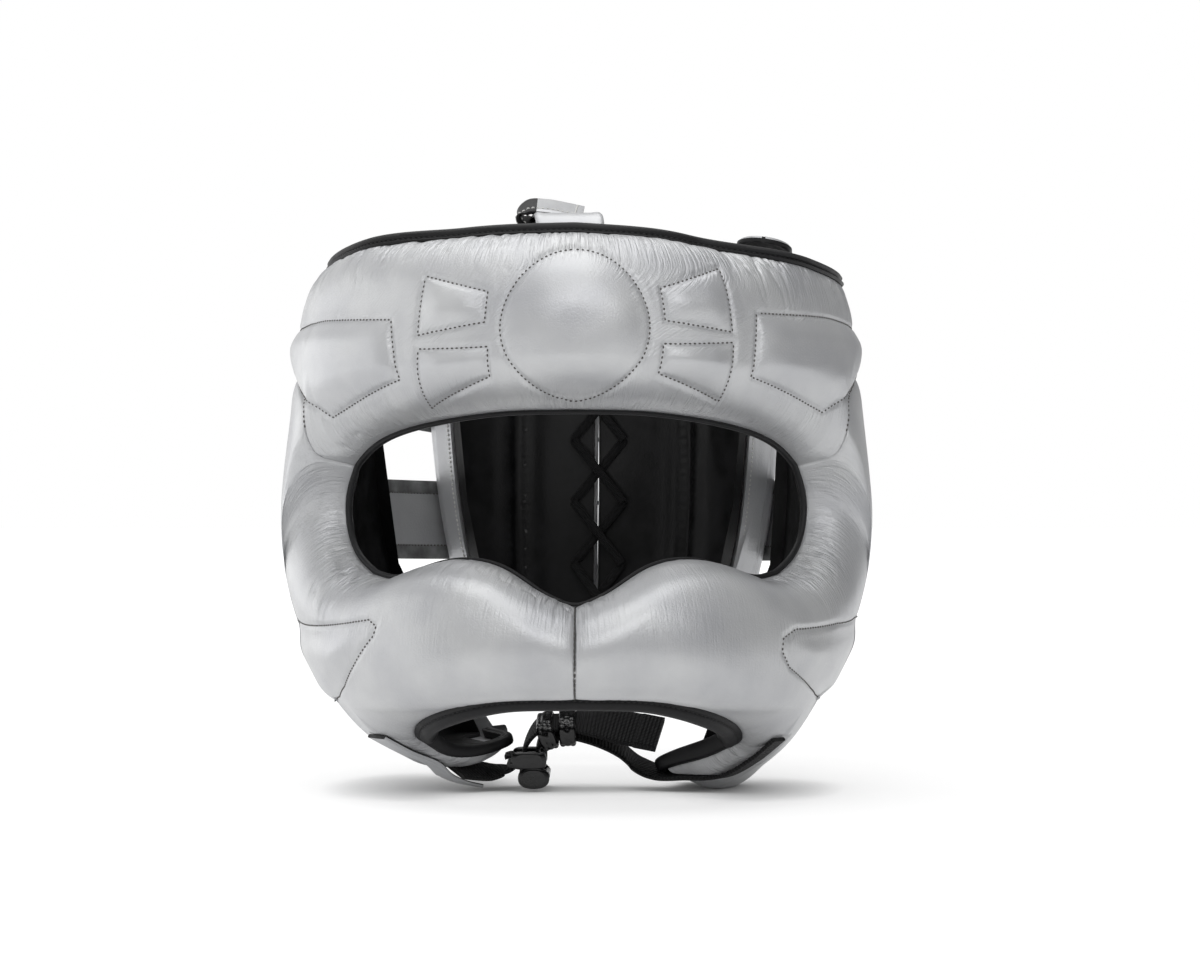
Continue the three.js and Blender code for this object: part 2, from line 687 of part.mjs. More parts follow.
// Binding tape over an edge: it covers the lining and the leather and stands out of the edge.
function bindingRings(edge, side, closed, sizes) {
  const last = edge.length - 1;
  return edge.map(({ point, face, normal }, i) => {
    const before = closed ? edge[(i + last) % edge.length] : edge[Math.max(i - 1, 0)];
    const after = closed ? edge[(i + 1) % edge.length] : edge[Math.min(i + 1, last)];
    const along = after.point.clone().sub(before.point);
    const out = along.cross(normal).multiplyScalar(side).normalize();
    const across = face.clone().sub(point).normalize();
    const { gap, reach, over } = sizes(i, face.distanceTo(point));
    const place = (a, b) => {
      const spot = point.clone().addScaledVector(a < 0 ? normal : across, a).addScaledVector(out, b);
      spot.z = Math.max(spot.z, 0);
      return spot;
    };
    const shoulder = gap + (reach - gap) * 0.6;
    return [
      place(-LINING_COVER, gap),
      place(over, gap),
      place(over, shoulder),
      place((over - LINING_COVER) / 2, reach),
      place(-LINING_COVER, shoulder),
    ];
  });
}

// Brow pad
const isEye = (i) => i >= SEAM_SPANS && i <= SEAM_SPANS + 2 * EYE_SPANS;
const bothSides = (curve) => [...mirrorCurve(curve).reverse().slice(0, -1), ...curve];
const browBottom = bothSides(joinCurves(edgeCurve(EYE_UPPER, EYE_SPANS), edgeCurve(BROW_SEAM, SEAM_SPANS)));
const browTop = bothSides(edgeCurve(TOP_EDGE, EYE_SPANS + SEAM_SPANS));
const brow = padFaces(ruledGrid(browBottom, browTop, BROW_ROWS, SEAM_INSET), {
  bottom: (i) => (isEye(i) ? EYE_ROLL : SEAM_ROLL),
  top: () => TOP_ROLL,
  start: EAR_ROLL,
  end: EAR_ROLL,
}, browRise);
add('forehead_pad', solidBetween(brow), LEATHER);
const everyOther = (list) => list.filter((_, i) => i % 2 === 0 || i === list.length - 1);
const LINING_FACE = -LINING_GAP - LINING_THICKNESS;
const lining = (grid) => solidBetween(wallFaces(everyOther(grid), LINING_FACE, -LINING_GAP));
add('forehead_lining', lining(ruledGrid(browBottom, browTop, LINING_ROWS, LINING_INSET)), LINING_CLOTH);

// Face guard: one padded half each side of the middle seam
const clearCentre = (curve) => (
  curve.map(({ angle, height }) => ({ angle: Math.max(angle, CENTRE_ANGLE), height }))
);
const guardTop = joinCurves(
  clearCentre(edgeCurve(EYE_LOWER, CHIN_SPANS)),
  edgeCurve(EYE_END, END_SPANS),
  edgeCurve(BROW_SEAM, SEAM_SPANS),
);
const guardBottom = joinCurves(
  clearCentre(edgeCurve(CHIN_RIM, CHIN_SPANS)),
  edgeCurve(FLAP_FRONT, END_SPANS),
  edgeCurve(FLAP_TIP, SEAM_SPANS),
);
const webbingRows = [...sewnRows(1), ...CHIN_WEBBING];
const patchRows = [...sewnRows(-1), ...STRAP_PATCH];
const webbingBed = ribbonBed(webbingRows.slice(0, 7), WEBBING_WIDTH, WEBBING_THICKNESS, 2, 1);
const patchBed = ribbonBed(patchRows, PATCH_WIDTH, WEBBING_THICKNESS, 2, -1);
const buckleBed = ribbonBed(BUCKLE_STRAP.slice(0, 5), WEBBING_WIDTH, WEBBING_THICKNESS, 2, -1);
const cornerColumn = CHIN_SPANS + END_SPANS;
const guardBend = (i) => {
  const rising = easeBetween(CHIN_SPANS, cornerColumn, i);
  const falling = easeBetween(cornerColumn + SEAM_SPANS, cornerColumn, i);
  return EYE_END_BEND * (i <= cornerColumn ? rising : falling);
};
const [leftGuard, rightGuard] = [
  { side: 'left', onSide: (grid) => grid.map(mirrorCurve), beds: [patchBed, buckleBed] },
  { side: 'right', onSide: (grid) => grid, beds: [webbingBed] },
].map(({ side, onSide, beds }) => {
  const grid = (rows, inset) => onSide(ruledGrid(guardBottom, guardTop, rows, inset, guardBend));
  const faces = padFaces(grid(GUARD_ROWS, SEAM_INSET), {
    bottom: (i) => (i <= CHIN_SPANS ? CHIN_ROLL : FLAP_ROLL),
    top: (i) => (i <= cornerColumn ? EYE_ROLL : SEAM_ROLL),
    start: CENTRE_ROLL,
    end: EAR_ROLL,
  }, cheekRise);
  add(`face_guard_${side}`, cut(solidBetween(faces), beds), LEATHER);
  add(`face_lining_${side}`, cut(lining(grid(GUARD_ROWS, LINING_INSET)), beds), LINING_CLOTH);
  return faces;
});

// Bindings along the edges of the shell
const firstRow = (columns) => columns.map((column) => column[0]);
const lastRow = (columns) => columns.map((column) => column.at(-1));
const firstColumn = (columns) => columns[0];
const lastColumn = (columns) => columns.at(-1);

const topEdge = everyOther(edgeOf(brow, lastRow));
const topSizes = (_, thickness) => ({ gap: SEW_GAP, reach: TOP_BINDING, over: thickness + 0.5 });
add('top_binding', solidSwept(bindingRings(topEdge, -1, false, topSizes), false), BLACK_LEATHER);

const chinEdge = [...edgeOf(leftGuard, firstRow).reverse(), ...edgeOf(rightGuard, firstRow)];
const flapSpans = END_SPANS + SEAM_SPANS;
const chinSizes = (i, thickness) => {
  const onChin = i >= flapSpans && i < chinEdge.length - flapSpans;
  return { gap: CHIN_GAP, reach: onChin ? CHIN_BINDING : FLAP_BINDING, over: thickness + 0.5 };
};
const chinTape = solidSwept(bindingRings(chinEdge, 1, false, chinSizes), false);
add('chin_binding', cut(chinTape, [webbingBed, patchBed, buckleBed]), BLACK_LEATHER);

const lowerEye = (faces) => edgeOf(faces, lastRow).slice(1, cornerColumn);
const upperEye = edgeOf(brow, firstRow).slice(SEAM_SPANS, SEAM_SPANS + 2 * EYE_SPANS + 1);
const eyeEdge = [...upperEye, ...lowerEye(rightGuard).reverse(), ...lowerEye(leftGuard)];
const eyeSizes = () => ({ gap: EYE_GAP, reach: EYE_BINDING, over: EYE_COVER });
add('eye_binding', solidSwept(bindingRings(eyeEdge, 1, true, eyeSizes), true), BLACK_LEATHER);

[
  { side: 'left', sign: -1, faces: leftGuard, pick: firstColumn },
  { side: 'right', sign: 1, faces: rightGuard, pick: lastColumn },
].forEach(({ side, sign, faces, pick }) => {
  const guardEdge = edgeOf(faces, lastColumn).slice(1);
  const earEdge = [...guardEdge, ...everyOther(edgeOf(brow, pick)).slice(0, -1)];
  const sizes = (_, thickness) => ({ gap: SEW_GAP, reach: EAR_BINDING, over: thickness + 0.5 });
  add(`ear_binding_${side}`, solidSwept(bindingRings(earEdge, sign, false, sizes), false), BLACK_LEATHER);
});

// Back panels with lace holes
const laceRow = (k) => LACE.low + LACE.step * k;
const laceHoles = [];
for (let k = 0; k < LACE.rows; k += 1) {
  [LACE.rightAngle, LACE.leftAngle].forEach((angle) => {
    laceHoles.push(cord([offHollow(angle, laceRow(k), -6), offHollow(angle, laceRow(k), 16)], LACE.hole, 4));
  });
}
const backGrid = (rows, columns, rowCount, inset) => Array.from({ length: columns + 1 }, (_, i) => (
  Array.from({ length: rowCount + 1 }, (__, j) => {
    const height = THREE.MathUtils.lerp(BACK_LOW + inset, BACK_HIGH - inset, j / rowCount);
    const near = readColumn(rows, 'height', 'near', height);
    const far = readColumn(rows, 'height', 'far', height);
    const margin = (inset / 110) * (180 / Math.PI) * Math.sign(far - near);
    return { angle: THREE.MathUtils.lerp(near + margin, far - margin, i / columns), height };
  })
));
[{ side: 'left', rows: BACK_LEFT }, { side: 'right', rows: BACK_RIGHT }].forEach(({ side, rows }) => {
  const grid = backGrid(rows, 9, 7, 0);
  const inner = grid.map((column) => column.map(({ angle, height }) => hollowPoint(angle, height)));
  const { along, across } = runLengths(inner);
  const outer = grid.map((column, i) => column.map(({ angle, height }, j) => {
    const toFar = across.at(-1)[j] - across[i][j];
    const ease = easeBetween(BACK_FLANGE.width, BACK_FLANGE.width + BACK_FLANGE.slope, toFar);
    const full = THREE.MathUtils.lerp(BACK_FLANGE.thickness, BACK_THICKNESS, ease);
    const ends = rollAt(along[i][j], BACK_ROLL) * rollAt(along[i].at(-1) - along[i][j], BACK_ROLL);
    return offHollow(angle, height, full * ends * rollAt(across[i][j], BACK_ROLL));
  }));
  add(`back_panel_${side}`, cut(solidBetween({ inner, outer }), laceHoles), LEATHER);
  const wall = wallFaces(backGrid(rows, 5, 5, 1), LINING_FACE, -LINING_GAP);
  add(`back_lining_${side}`, cut(solidBetween(wall), laceHoles), LINING_CLOTH);
});

// Lace: crossed on the inside and level bars on the outside, joined to one cord
const laceInside = LINING_FACE - LACE.radius - 0.6;
const laceOutside = BACK_FLANGE.thickness + LACE.radius + 1.4;
const laceRuns = [];
for (let k = 0; k < LACE.rows; k += 1) {
  const right = (row, offset) => offHollow(LACE.rightAngle, laceRow(row), offset);
  const left = (row, offset) => offHollow(LACE.leftAngle, laceRow(row), offset);
  const deep = laceInside - 0.5;
  laceRuns.push([right(k, deep), right(k, laceOutside), left(k, laceOutside), left(k, deep)]);
  if (k < LACE.rows - 1) {
    laceRuns.push([right(k, laceInside), left(k + 1, laceInside)]);
    laceRuns.push([left(k, laceInside), right(k + 1, laceInside)]);
  }
}
add('back_lace', joined(laceRuns.map((stops) => cord(stops, LACE.radius, 4))), WEBBING);

// Straps from the ear edge to the back panels
[
  { name: 'side_strap_left', rows: SIDE_STRAP_LEFT },
  { name: 'side_strap_right', rows: SIDE_STRAP_RIGHT },
  { name: 'upper_strap_left', rows: UPPER_STRAP_LEFT },
  { name: 'upper_strap_right', rows: UPPER_STRAP_RIGHT },
].forEach(({ name, rows }) => {
  const count = 12;
  const first = rows[0].angle;
  const last = rows.at(-1).angle;
  const grid = Array.from({ length: count + 1 }, (_, i) => {
    const angle = THREE.MathUtils.lerp(first, last, i / count);
    const low = readColumn(rows, 'angle', 'low', angle);
    const high = readColumn(rows, 'angle', 'high', angle);
    return [0, 0.33, 0.67, 1].map((v) => ({ angle, height: THREE.MathUtils.lerp(low, high, v) }));
  });
  const rise = (angle, height) => {
    const turned = Math.abs(angle);
    const onShell = paddingAt(angle, height) + SEW_GAP + 0.5;
    const free = readColumn(rows.slice(1), 'angle', 'rise', angle);
    return THREE.MathUtils.lerp(onShell, free, easeBetween(EAR_TO - 2, EAR_TO + 4, turned));
  };
  add(name, solidBetween(wallFaces(grid, rise, (a, h) => rise(a, h) + STRAP_THICKNESS)), LEATHER);
});
add('crown_strap', ribbon(CROWN_STRAP, CROWN_WIDTH, STRAP_THICKNESS, 2), LEATHER);
add('hook_strap', ribbon(HOOK_STRAP, HOOK_WIDTH, STRAP_THICKNESS, 2), LEATHER);

// Chin strap: webbing, keepers, buckle and the strap that holds it
add('chin_webbing', ribbon(webbingRows, WEBBING_WIDTH, WEBBING_THICKNESS, 2), WEBBING);
add('strap_patch', ribbon(patchRows, PATCH_WIDTH, WEBBING_THICKNESS, 2), LEATHER);
add('buckle_strap', ribbon(BUCKLE_STRAP, WEBBING_WIDTH, WEBBING_THICKNESS, 2), WEBBING);
const buckleSides = [BUCKLE_MIDDLE - BUCKLE_DEPTH / 2, BUCKLE_MIDDLE + BUCKLE_DEPTH / 2];
const crossBars = BUCKLE_BARS.map(({ x, z }) => (
  cord(buckleSides.map((y) => new THREE.Vector3(x, y, z)), BUCKLE_BAR, 6)
));
const sideRails = buckleSides.map((y) => (
  cord(BUCKLE_BARS.map(({ x, z }) => new THREE.Vector3(x, y, z)), BUCKLE_BAR * 1.15, 6)
));
add('buckle', joined([...crossBars, ...sideRails]), PLASTIC);
KEEPERS.forEach(({ name, x, z, lean }) => {
  const slope = THREE.MathUtils.degToRad(KEEPER.slope);
  const wide = new THREE.Vector3(0, Math.cos(slope), Math.sin(slope));
  const turn = THREE.MathUtils.degToRad(lean);
  const along = new THREE.Vector3(Math.cos(turn), 0, Math.sin(turn));
  along.addScaledVector(wide, -along.dot(wide)).normalize();
  const face = along.clone().cross(wide);
  const centre = new THREE.Vector3(x, BUCKLE_MIDDLE, z);
  const outline = [[-1, -0.6], [-0.9, -1], [0.9, -1], [1, -0.6], [1, 0.6], [0.9, 1], [-0.9, 1], [-1, 0.6]];
  const rings = outline.map(([a, b]) => [[0, -1], [1, -1], [1, 1], [0, 1]].map(([deep, end]) => {
    const wallWide = (KEEPER.width / 2 + (deep ? KEEPER.wall : 0)) * a;
    const wallHigh = (KEEPER.height / 2 + (deep ? KEEPER.wall : 0)) * b;
    const point = centre.clone().addScaledVector(wide, wallWide).addScaledVector(face, wallHigh);
    return point.addScaledVector(along, (end * KEEPER.length) / 2);
  }));
  add(name, solidSwept(rings, true), PLASTIC);
});

export default group;
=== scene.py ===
import math

import bpy
import numpy as np
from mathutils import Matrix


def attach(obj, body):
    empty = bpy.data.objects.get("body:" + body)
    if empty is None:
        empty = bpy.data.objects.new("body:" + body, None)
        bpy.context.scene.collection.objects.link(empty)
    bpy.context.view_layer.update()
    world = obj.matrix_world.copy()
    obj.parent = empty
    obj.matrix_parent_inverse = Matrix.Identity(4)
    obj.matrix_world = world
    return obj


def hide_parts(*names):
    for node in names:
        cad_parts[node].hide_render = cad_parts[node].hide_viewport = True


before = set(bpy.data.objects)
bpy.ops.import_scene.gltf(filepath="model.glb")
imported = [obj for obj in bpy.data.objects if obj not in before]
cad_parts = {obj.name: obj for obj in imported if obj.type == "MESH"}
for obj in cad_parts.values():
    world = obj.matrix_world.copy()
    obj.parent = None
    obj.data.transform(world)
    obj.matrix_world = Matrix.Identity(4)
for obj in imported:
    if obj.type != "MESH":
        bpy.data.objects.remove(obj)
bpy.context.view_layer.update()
print("frame: the packed headgear is in place")


def linear(code):
    # sRGB hex to linear RGBA: the straight part near black, the 2.4 power above it
    channel = np.array([int(code[i:i + 2], 16) for i in (1, 3, 5)]) / 255
    value = np.where(channel <= 0.04045, channel / 12.92, ((channel + 0.055) / 1.055) ** 2.4)
    return (*value.tolist(), 1.0)


def addNode(owner, kind, values={}, links={}, **settings):
    # one shader node with its settings, the constants on its sockets and the sockets that feed it
    node = owner.node_tree.nodes.new("ShaderNode" + kind)
    for name, value in settings.items():
        setattr(node, name, value)
    for socket, value in values.items():
        node.inputs[socket].default_value = value
    for socket, source in links.items():
        owner.node_tree.links.new(source, node.inputs[socket])
    return node


def unit(v):
    # vectors divided by their lengths
    return v / np.maximum(np.linalg.norm(v, axis=-1, keepdims=True), 1e-12)


def newMaterial(name):
    # material with an empty node tree
    made = bpy.data.materials.new(name)
    made.use_nodes = True
    made.node_tree.nodes.clear()
    return made


# photo's view: level, a long lens, a little right of the middle
photoView = {"place": (0.0096, -1.3397, 0.126), "lens": 96.9, "sensor": 36.0, "clip": (0.05, 50)}
cameraData = bpy.data.cameras.new("photo_camera")
cameraData.lens = photoView["lens"]
cameraData.sensor_width = photoView["sensor"]
cameraData.clip_start, cameraData.clip_end = photoView["clip"]
camera = bpy.data.objects.new("photo_camera", cameraData)
camera.location = photoView["place"]
camera.rotation_euler = (math.pi / 2, 0, 0)
bpy.context.scene.collection.objects.link(camera)
bpy.context.scene.camera = camera

# white sweep and large soft boxes: brighter from the left and above, a grey room in front
studio = {
    "floor": {"size": 7.0, "colour": "#b2b2b2", "glow": (0.6, 1.0), "reach": (0.2, 1.8), "contact": 0.03},
    "sky": {"seen": "#ffffff", "front": (0.12, 0.46), "frontSpan": (-0.6, 0.65), "lean": (-0.5, 0.85),
            "back": (0.95, 0.13), "turnSpan": (-0.35, 0.4)},
    "aim": (0, 0, 0.12),
    "boxes": [
        {"name": "key", "place": (-1.5, -0.4, 0.6), "size": (1.1, 1.2), "watts": 3.3},
        {"name": "left_back", "place": (-1.25, 0.8, 0.3), "size": (1.0, 0.8), "watts": 2.8},
        {"name": "fill", "place": (1.5, 0.1, 0.45), "size": (0.9, 1.1), "watts": 0.15},
        {"name": "overhead", "place": (-0.05, 0.0, 1.3), "size": (1.7, 1.0), "watts": 10},
        {"name": "front_top", "place": (0.1, -1.2, 0.95), "size": (1.1, 0.45), "watts": 4.8},
        {"name": "front_right", "place": (1.0, -1.3, 0.35), "size": (0.5, 0.7), "watts": 0.25},
    ],
}


def buildStudio(look):
    # paper floor, a sky that fades from grey in front to bright behind, and soft boxes aimed at the middle
    scene = bpy.context.scene
    scene.view_settings.view_transform = "Standard"
    half = look["floor"]["size"]
    mesh = bpy.data.meshes.new("floor")
    corners = [(-half, -half, 0), (half, -half, 0), (half, half, 0), (-half, half, 0)]
    mesh.from_pydata(corners, [], [(0, 1, 2, 3)])
    floor = bpy.data.objects.new("floor", mesh)
    scene.collection.objects.link(floor)
    paper = newMaterial("white_paper_sweep")
    # the paper glows, more so far out, so that it stays white up to the horizon; close under the object the
    # glow is cut off, which leaves tight contact shadows
    spot = addNode(paper, "TexCoord")
    far = addNode(paper, "VectorMath", links={0: spot.outputs["Object"]}, operation="LENGTH")
    ground = look["floor"]
    even = addNode(paper, "MapRange", {"From Min": ground["reach"][0], "From Max": ground["reach"][1],
                   "To Min": ground["glow"][0], "To Max": ground["glow"][1]}, {"Value": far.outputs["Value"]})
    clear = addNode(paper, "AmbientOcclusion", {"Distance": ground["contact"]}, samples=8)
    glow = addNode(paper, "Math", links={0: even.outputs["Result"], 1: clear.outputs["AO"]},
                   operation="MULTIPLY")
    shade = addNode(paper, "BsdfPrincipled",
                    {"Base Color": linear(ground["colour"]), "Roughness": 0.9, "Emission Color": (1, 1, 1, 1)},
                    {"Emission Strength": glow.outputs["Value"]})
    addNode(paper, "OutputMaterial", links={"Surface": shade.outputs[0]})
    mesh.materials.append(paper)
    world = bpy.data.worlds.new("studio_sky")
    scene.world = world
    world.use_nodes = True
    world.node_tree.nodes.clear()
    sky = look["sky"]
    way = addNode(world, "TexCoord")
    split = addNode(world, "SeparateXYZ", links={"Vector": way.outputs["Generated"]})
    leanX, leanZ = sky["lean"]
    high = addNode(world, "Math", {1: leanZ}, {0: split.outputs["Z"]}, operation="MULTIPLY")
    side = addNode(world, "Math", {1: leanX}, {0: split.outputs["X"], 2: high.outputs["Value"]},
                   operation="MULTIPLY_ADD")
    front = addNode(world, "MapRange",
                    {"From Min": sky["frontSpan"][0], "From Max": sky["frontSpan"][1],
                     "To Min": sky["front"][0], "To Max": sky["front"][1]},
                    {"Value": side.outputs["Value"]}, interpolation_type="SMOOTHSTEP")
    back = addNode(world, "MapRange", {"From Min": -1.0, "From Max": 1.0, "To Min": sky["back"][0],
                   "To Max": sky["back"][1]}, {"Value": split.outputs["X"]})
    grey = addNode(world, "MapRange",
                   {"From Min": sky["turnSpan"][0], "From Max": sky["turnSpan"][1]},
                   {"Value": split.outputs["Y"], "To Min": front.outputs["Result"],
                    "To Max": back.outputs["Result"]}, interpolation_type="SMOOTHSTEP")
    ray = addNode(world, "LightPath")
    lit = addNode(world, "Background", {"Strength": 1.0}, {"Color": grey.outputs["Result"]})
    seen = addNode(world, "Background", {"Color": linear(sky["seen"]), "Strength": 1.0})
    both = addNode(world, "MixShader", links={0: ray.outputs["Is Camera Ray"], 1: lit.outputs[0],
                   2: seen.outputs[0]})
    addNode(world, "OutputWorld", links={"Surface": both.outputs[0]})
    for box in look["boxes"]:
        light = bpy.data.lights.new(box["name"], "AREA")
        light.shape = "RECTANGLE"
        light.size, light.size_y = box["size"]
        light.energy = box["watts"]
        lamp = bpy.data.objects.new(box["name"], light)
        lamp.location = box["place"]
        aim = unit(np.array(look["aim"]) - np.array(box["place"]))
        lamp.rotation_euler = (math.acos(-aim[2]), 0, math.atan2(aim[1], aim[0]) - math.pi / 2)
        scene.collection.objects.link(lamp)


buildStudio(studio)
print("studio: camera, floor and soft boxes")

# the head hollow: radius in mm at each height, every 30 degrees from the front (0) to the back (180)
headHollow = {
    "axisY": 0.3, "step": 30,
    "heights": [5, 12, 20, 28, 42, 62, 85, 117, 150, 186, 210, 228],
    "radii": [
        [46, 46, 42, 46, 45, 58, 78], [60, 60, 56, 57, 56, 66, 84], [74, 74, 69.5, 66, 64, 75, 90],
        [84, 85, 79, 72.5, 70, 82, 95], [90, 92, 85, 78.5, 76.5, 90, 99], [95, 97, 91.5, 84.5, 81.5, 95, 103],
        [92, 95, 97, 90, 87.5, 100, 107], [86, 90, 99, 94, 91, 104, 110], [80, 83, 91, 92, 91, 104, 110],
        [76, 78, 84, 88, 91, 102, 108], [72, 74, 80, 85, 88, 97, 103], [66, 68, 75, 81, 84, 92, 98],
    ],
    "curl": {"rise": 15, "inward": 9, "below": 19, "span": 14},  # the left flap's tip turns up and in
    "lift": {"rise": 4.5, "angles": (84, 52), "heights": (25, 7)},  # the right flap's front corner is raised
}
# padding thickness in mm at the same heights: front, cheek, ear edge
foam = {
    "thickness": [
        [6, 11, 11], [7, 22.5, 21], [10, 21.5, 20], [20, 20, 18.5], [31.5, 21, 18.5], [32.4, 24, 19.5],
        [26, 26, 20], [24, 25.5, 20], [26, 26, 20], [29, 27, 20], [25, 24, 20], [20, 20, 18],
    ],
    "cheek": (20, 70), "ear": (84, 104),  # angles over which one column gives way to the next
    # share lost at the left and right flap's tip, and the heights between which it grows
    "squeeze": (0.7, 0.34), "flap": (46, 12),
}
# edges of one half of the shell: angle in degrees, height in mm; the right flap and top edge sit lower
shellEdges = {
    "eyeUpper": [(0, 153), (18, 152.5), (36, 149.7), (50, 145.5), (60, 139.5), (67.5, 131.5)],
    "eyeLower": [(0, 76.5), (7, 81.5), (17, 91.5), (27, 95), (38, 91.5), (48, 87.5), (55, 89)],
    "eyeEnd": [(55, 89), (62, 95), (68.5, 106), (70.5, 119), (67.5, 131.5)],
    "browSeam": [(67.5, 131.5), (68.3, 141), (71.5, 151), (78.5, 159.5), (89, 167.5), (101, 176)],
    "chinRim": [(0, 45.6), (17, 44.4), (31, 38.2), (43, 31.6), (52, 25)],
    "flapFront": [(52, 25), (54, 15), (52, 5.5)],
    "flapTip": [(52, 5.5), (87, 5), (122, 5.5)],
    "chinRimRight": [(0, 45.6), (17, 44.4), (31, 38.2), (44, 31.4), (56, 24)],
    "flapFrontRight": [(56, 24), (57.5, 15), (54, 5.5)],
    "flapTipRight": [(54, 5.5), (76, 5), (98, 5.5)],
    "topEdge": [(0, 220), (30, 219), (60, 215), (97, 207)],
    "topEdgeRight": [(0, 220), (30, 216.8), (46, 212), (62, 207.4), (97, 201.5)],
}
# how the padding rolls over at an edge: width in mm, and the share of the thickness left at the edge
rollOver = {
    "eye": (18, 0.14), "chin": (20, 0.3), "flap": (15, 0.22), "seam": (7, 0.9), "top": (20, 0.37),
    "topSide": (17, 0.74), "topRight": (12, 0.93),
    "ear": (14, 0.45), "centre": (4, 0.96),
}


def ease(low, high, at):
    # smooth step: 0 at low, 1 at high, level at both ends
    t = np.clip((at - low) / (high - low), 0, 1)
    return t * t * (3 - 2 * t)


def bell(at, middle, width):
    # 1 at the middle, falling off as the exponent of minus the squared distance in widths
    return np.exp(-((at - middle) / width) ** 2)


def cubic(t, low, high, lowSlope, highSlope):
    # cubic from low to high with the given slopes at its ends
    start = (2 * t ** 3 - 3 * t ** 2 + 1) * low + (t ** 3 - 2 * t ** 2 + t) * lowSlope
    return start + (3 * t ** 2 - 2 * t ** 3) * high + (t ** 3 - t ** 2) * highSlope


def smoothRead(keys, values, at):
    # cubic spline through the rows of a table: the slopes are solved so that the bend is even on both sides of
    # each row, and the ends take the nearest rate
    keys, values, at = np.asarray(keys, float), np.asarray(values, float), np.asarray(at, float)
    if keys[-1] < keys[0]:
        keys, values = keys[::-1], values[::-1]
    step = np.diff(keys)
    rate = np.diff(values, axis=0) / step[:, None]
    count = np.arange(1, len(step))
    even, want = np.eye(len(keys)), np.vstack([rate[:1], np.zeros((len(count), rate.shape[1])), rate[-1:]])
    even[count, count - 1], even[count, count + 1] = step[1:], step[:-1]
    even[count, count] = 2 * (step[1:] + step[:-1])
    want[count] = 3 * (step[1:, None] * rate[:-1] + step[:-1, None] * rate[1:])
    slope = np.linalg.solve(even, want)
    i = np.clip(np.searchsorted(keys, at, side="right") - 1, 0, len(step) - 1)
    t = np.clip((at - keys[i]) / step[i], 0, 1)[..., None]
    h = step[i][..., None]
    return cubic(t, values[i], values[i + 1], h * slope[i], h * slope[i + 1])


def hollowPoint(angle, height):
    # radius: spline over height at each station, then spline over angle, level at the front and the back
    angle, height = np.broadcast_arrays(np.asarray(angle, float), np.asarray(height, float))
    turned = np.where(np.abs(angle) > 180, 360 - np.abs(angle), np.abs(angle)) / headHollow["step"]
    rows = smoothRead(headHollow["heights"], headHollow["radii"], height)
    stations = rows.shape[-1]
    even, rate = np.eye(stations), np.zeros((stations, stations))
    k = np.arange(1, stations - 1)
    even[k, k - 1], even[k, k], even[k, k + 1] = 1, 4, 1
    rate[k, k - 1], rate[k, k + 1] = -3, 3
    slope = rows @ np.linalg.solve(even, rate).T
    i = np.clip(np.floor(turned).astype(int), 0, stations - 2)[..., None]
    t = turned[..., None] - i
    ends = (np.take_along_axis(grid, k, -1) for grid in (rows, slope) for k in (i, i + 1))
    radius = cubic(t, *ends)[..., 0]
    curl, lift = headHollow["curl"], headHollow["lift"]
    bent = np.where(angle < 0, (np.maximum(curl["below"] - height, 0) / curl["span"]) ** 2, 0)
    radius, turn = radius - curl["inward"] * bent, np.radians(angle)
    raised = lift["rise"] * ease(*lift["angles"], angle) * ease(*lift["heights"], height) * (angle > 0)
    return np.stack([radius * np.sin(turn), headHollow["axisY"] - radius * np.cos(turn),
                     height + curl["rise"] * bent + raised], -1)


def hollowNormal(angle, height):
    # cross product of the slopes along the angle and up the height
    step = 0.5
    middle = np.clip(height, headHollow["heights"][0] + step, headHollow["heights"][-1] - step)
    side = hollowPoint(angle + step, height) - hollowPoint(angle - step, height)
    up = hollowPoint(angle, middle + step) - hollowPoint(angle, middle - step)
    return unit(np.cross(side, up))


def onHollow(place):
    # point and normal of the hollow at places given as angle and height
    return hollowPoint(place[..., 0], place[..., 1]), hollowNormal(place[..., 0], place[..., 1])


def foamAt(angle, height):
    # thickness: cubic over height in three columns, eased from front to cheek to ear by the angle; both
    # flaps are squeezed towards the tip, the left one more
    rows = smoothRead(headHollow["heights"], foam["thickness"], height)
    turned = np.abs(angle)
    cheek = rows[..., 0] + (rows[..., 1] - rows[..., 0]) * ease(*foam["cheek"], turned)
    thick = cheek + (rows[..., 2] - cheek) * ease(*foam["ear"], turned)
    left, right = foam["squeeze"]
    return thick * (1 - np.where(np.asarray(angle) < 0, left, right) * ease(*foam["flap"], height))


def rollAt(distance, width, left):
    # quarter ellipse from the share left at the edge to full thickness
    q = 1 - np.clip(distance / width, 0, 1)
    return left + (1 - left) * np.sqrt(1 - q * q)


def edgeAt(name, share):
    # places on a smooth curve through an edge's rows, spread by the chords between them
    rows = np.array(shellEdges[name], float)
    along = runs(hollowPoint(*rows.T), 0)
    return smoothRead(along, rows, np.clip(share, 0, 1) * along[-1])


def ruled(bottom, top, across, inset, bow=0.0):
    # places between two edges: straight in angle and height, drawn in from both, the angle bowed by 2v(1-v)
    run = np.linalg.norm(hollowPoint(*bottom.T) - hollowPoint(*top.T), axis=-1)
    margin = (inset / run)[:, None]
    v = margin + (1 - 2 * margin) * across[None, :]
    place = bottom[:, None, :] + (top - bottom)[:, None, :] * v[..., None]
    place[..., 0] += np.broadcast_to(bow, len(bottom))[:, None] * 2 * v * (1 - v)
    return place


def runs(points, axis):
    # length along a path, or along each grid line, from its start
    step = np.linalg.norm(np.diff(points, axis=axis), axis=-1)
    return np.concatenate([np.zeros_like(np.take(step, [0], axis)), np.cumsum(step, axis)], axis)


def gridNormals(points, outward):
    # cross product of the two grid slopes, turned to the side of the outward field
    n = unit(np.cross(np.gradient(points, axis=0), np.gradient(points, axis=1)))
    return n * np.sign(np.sum(n * outward))


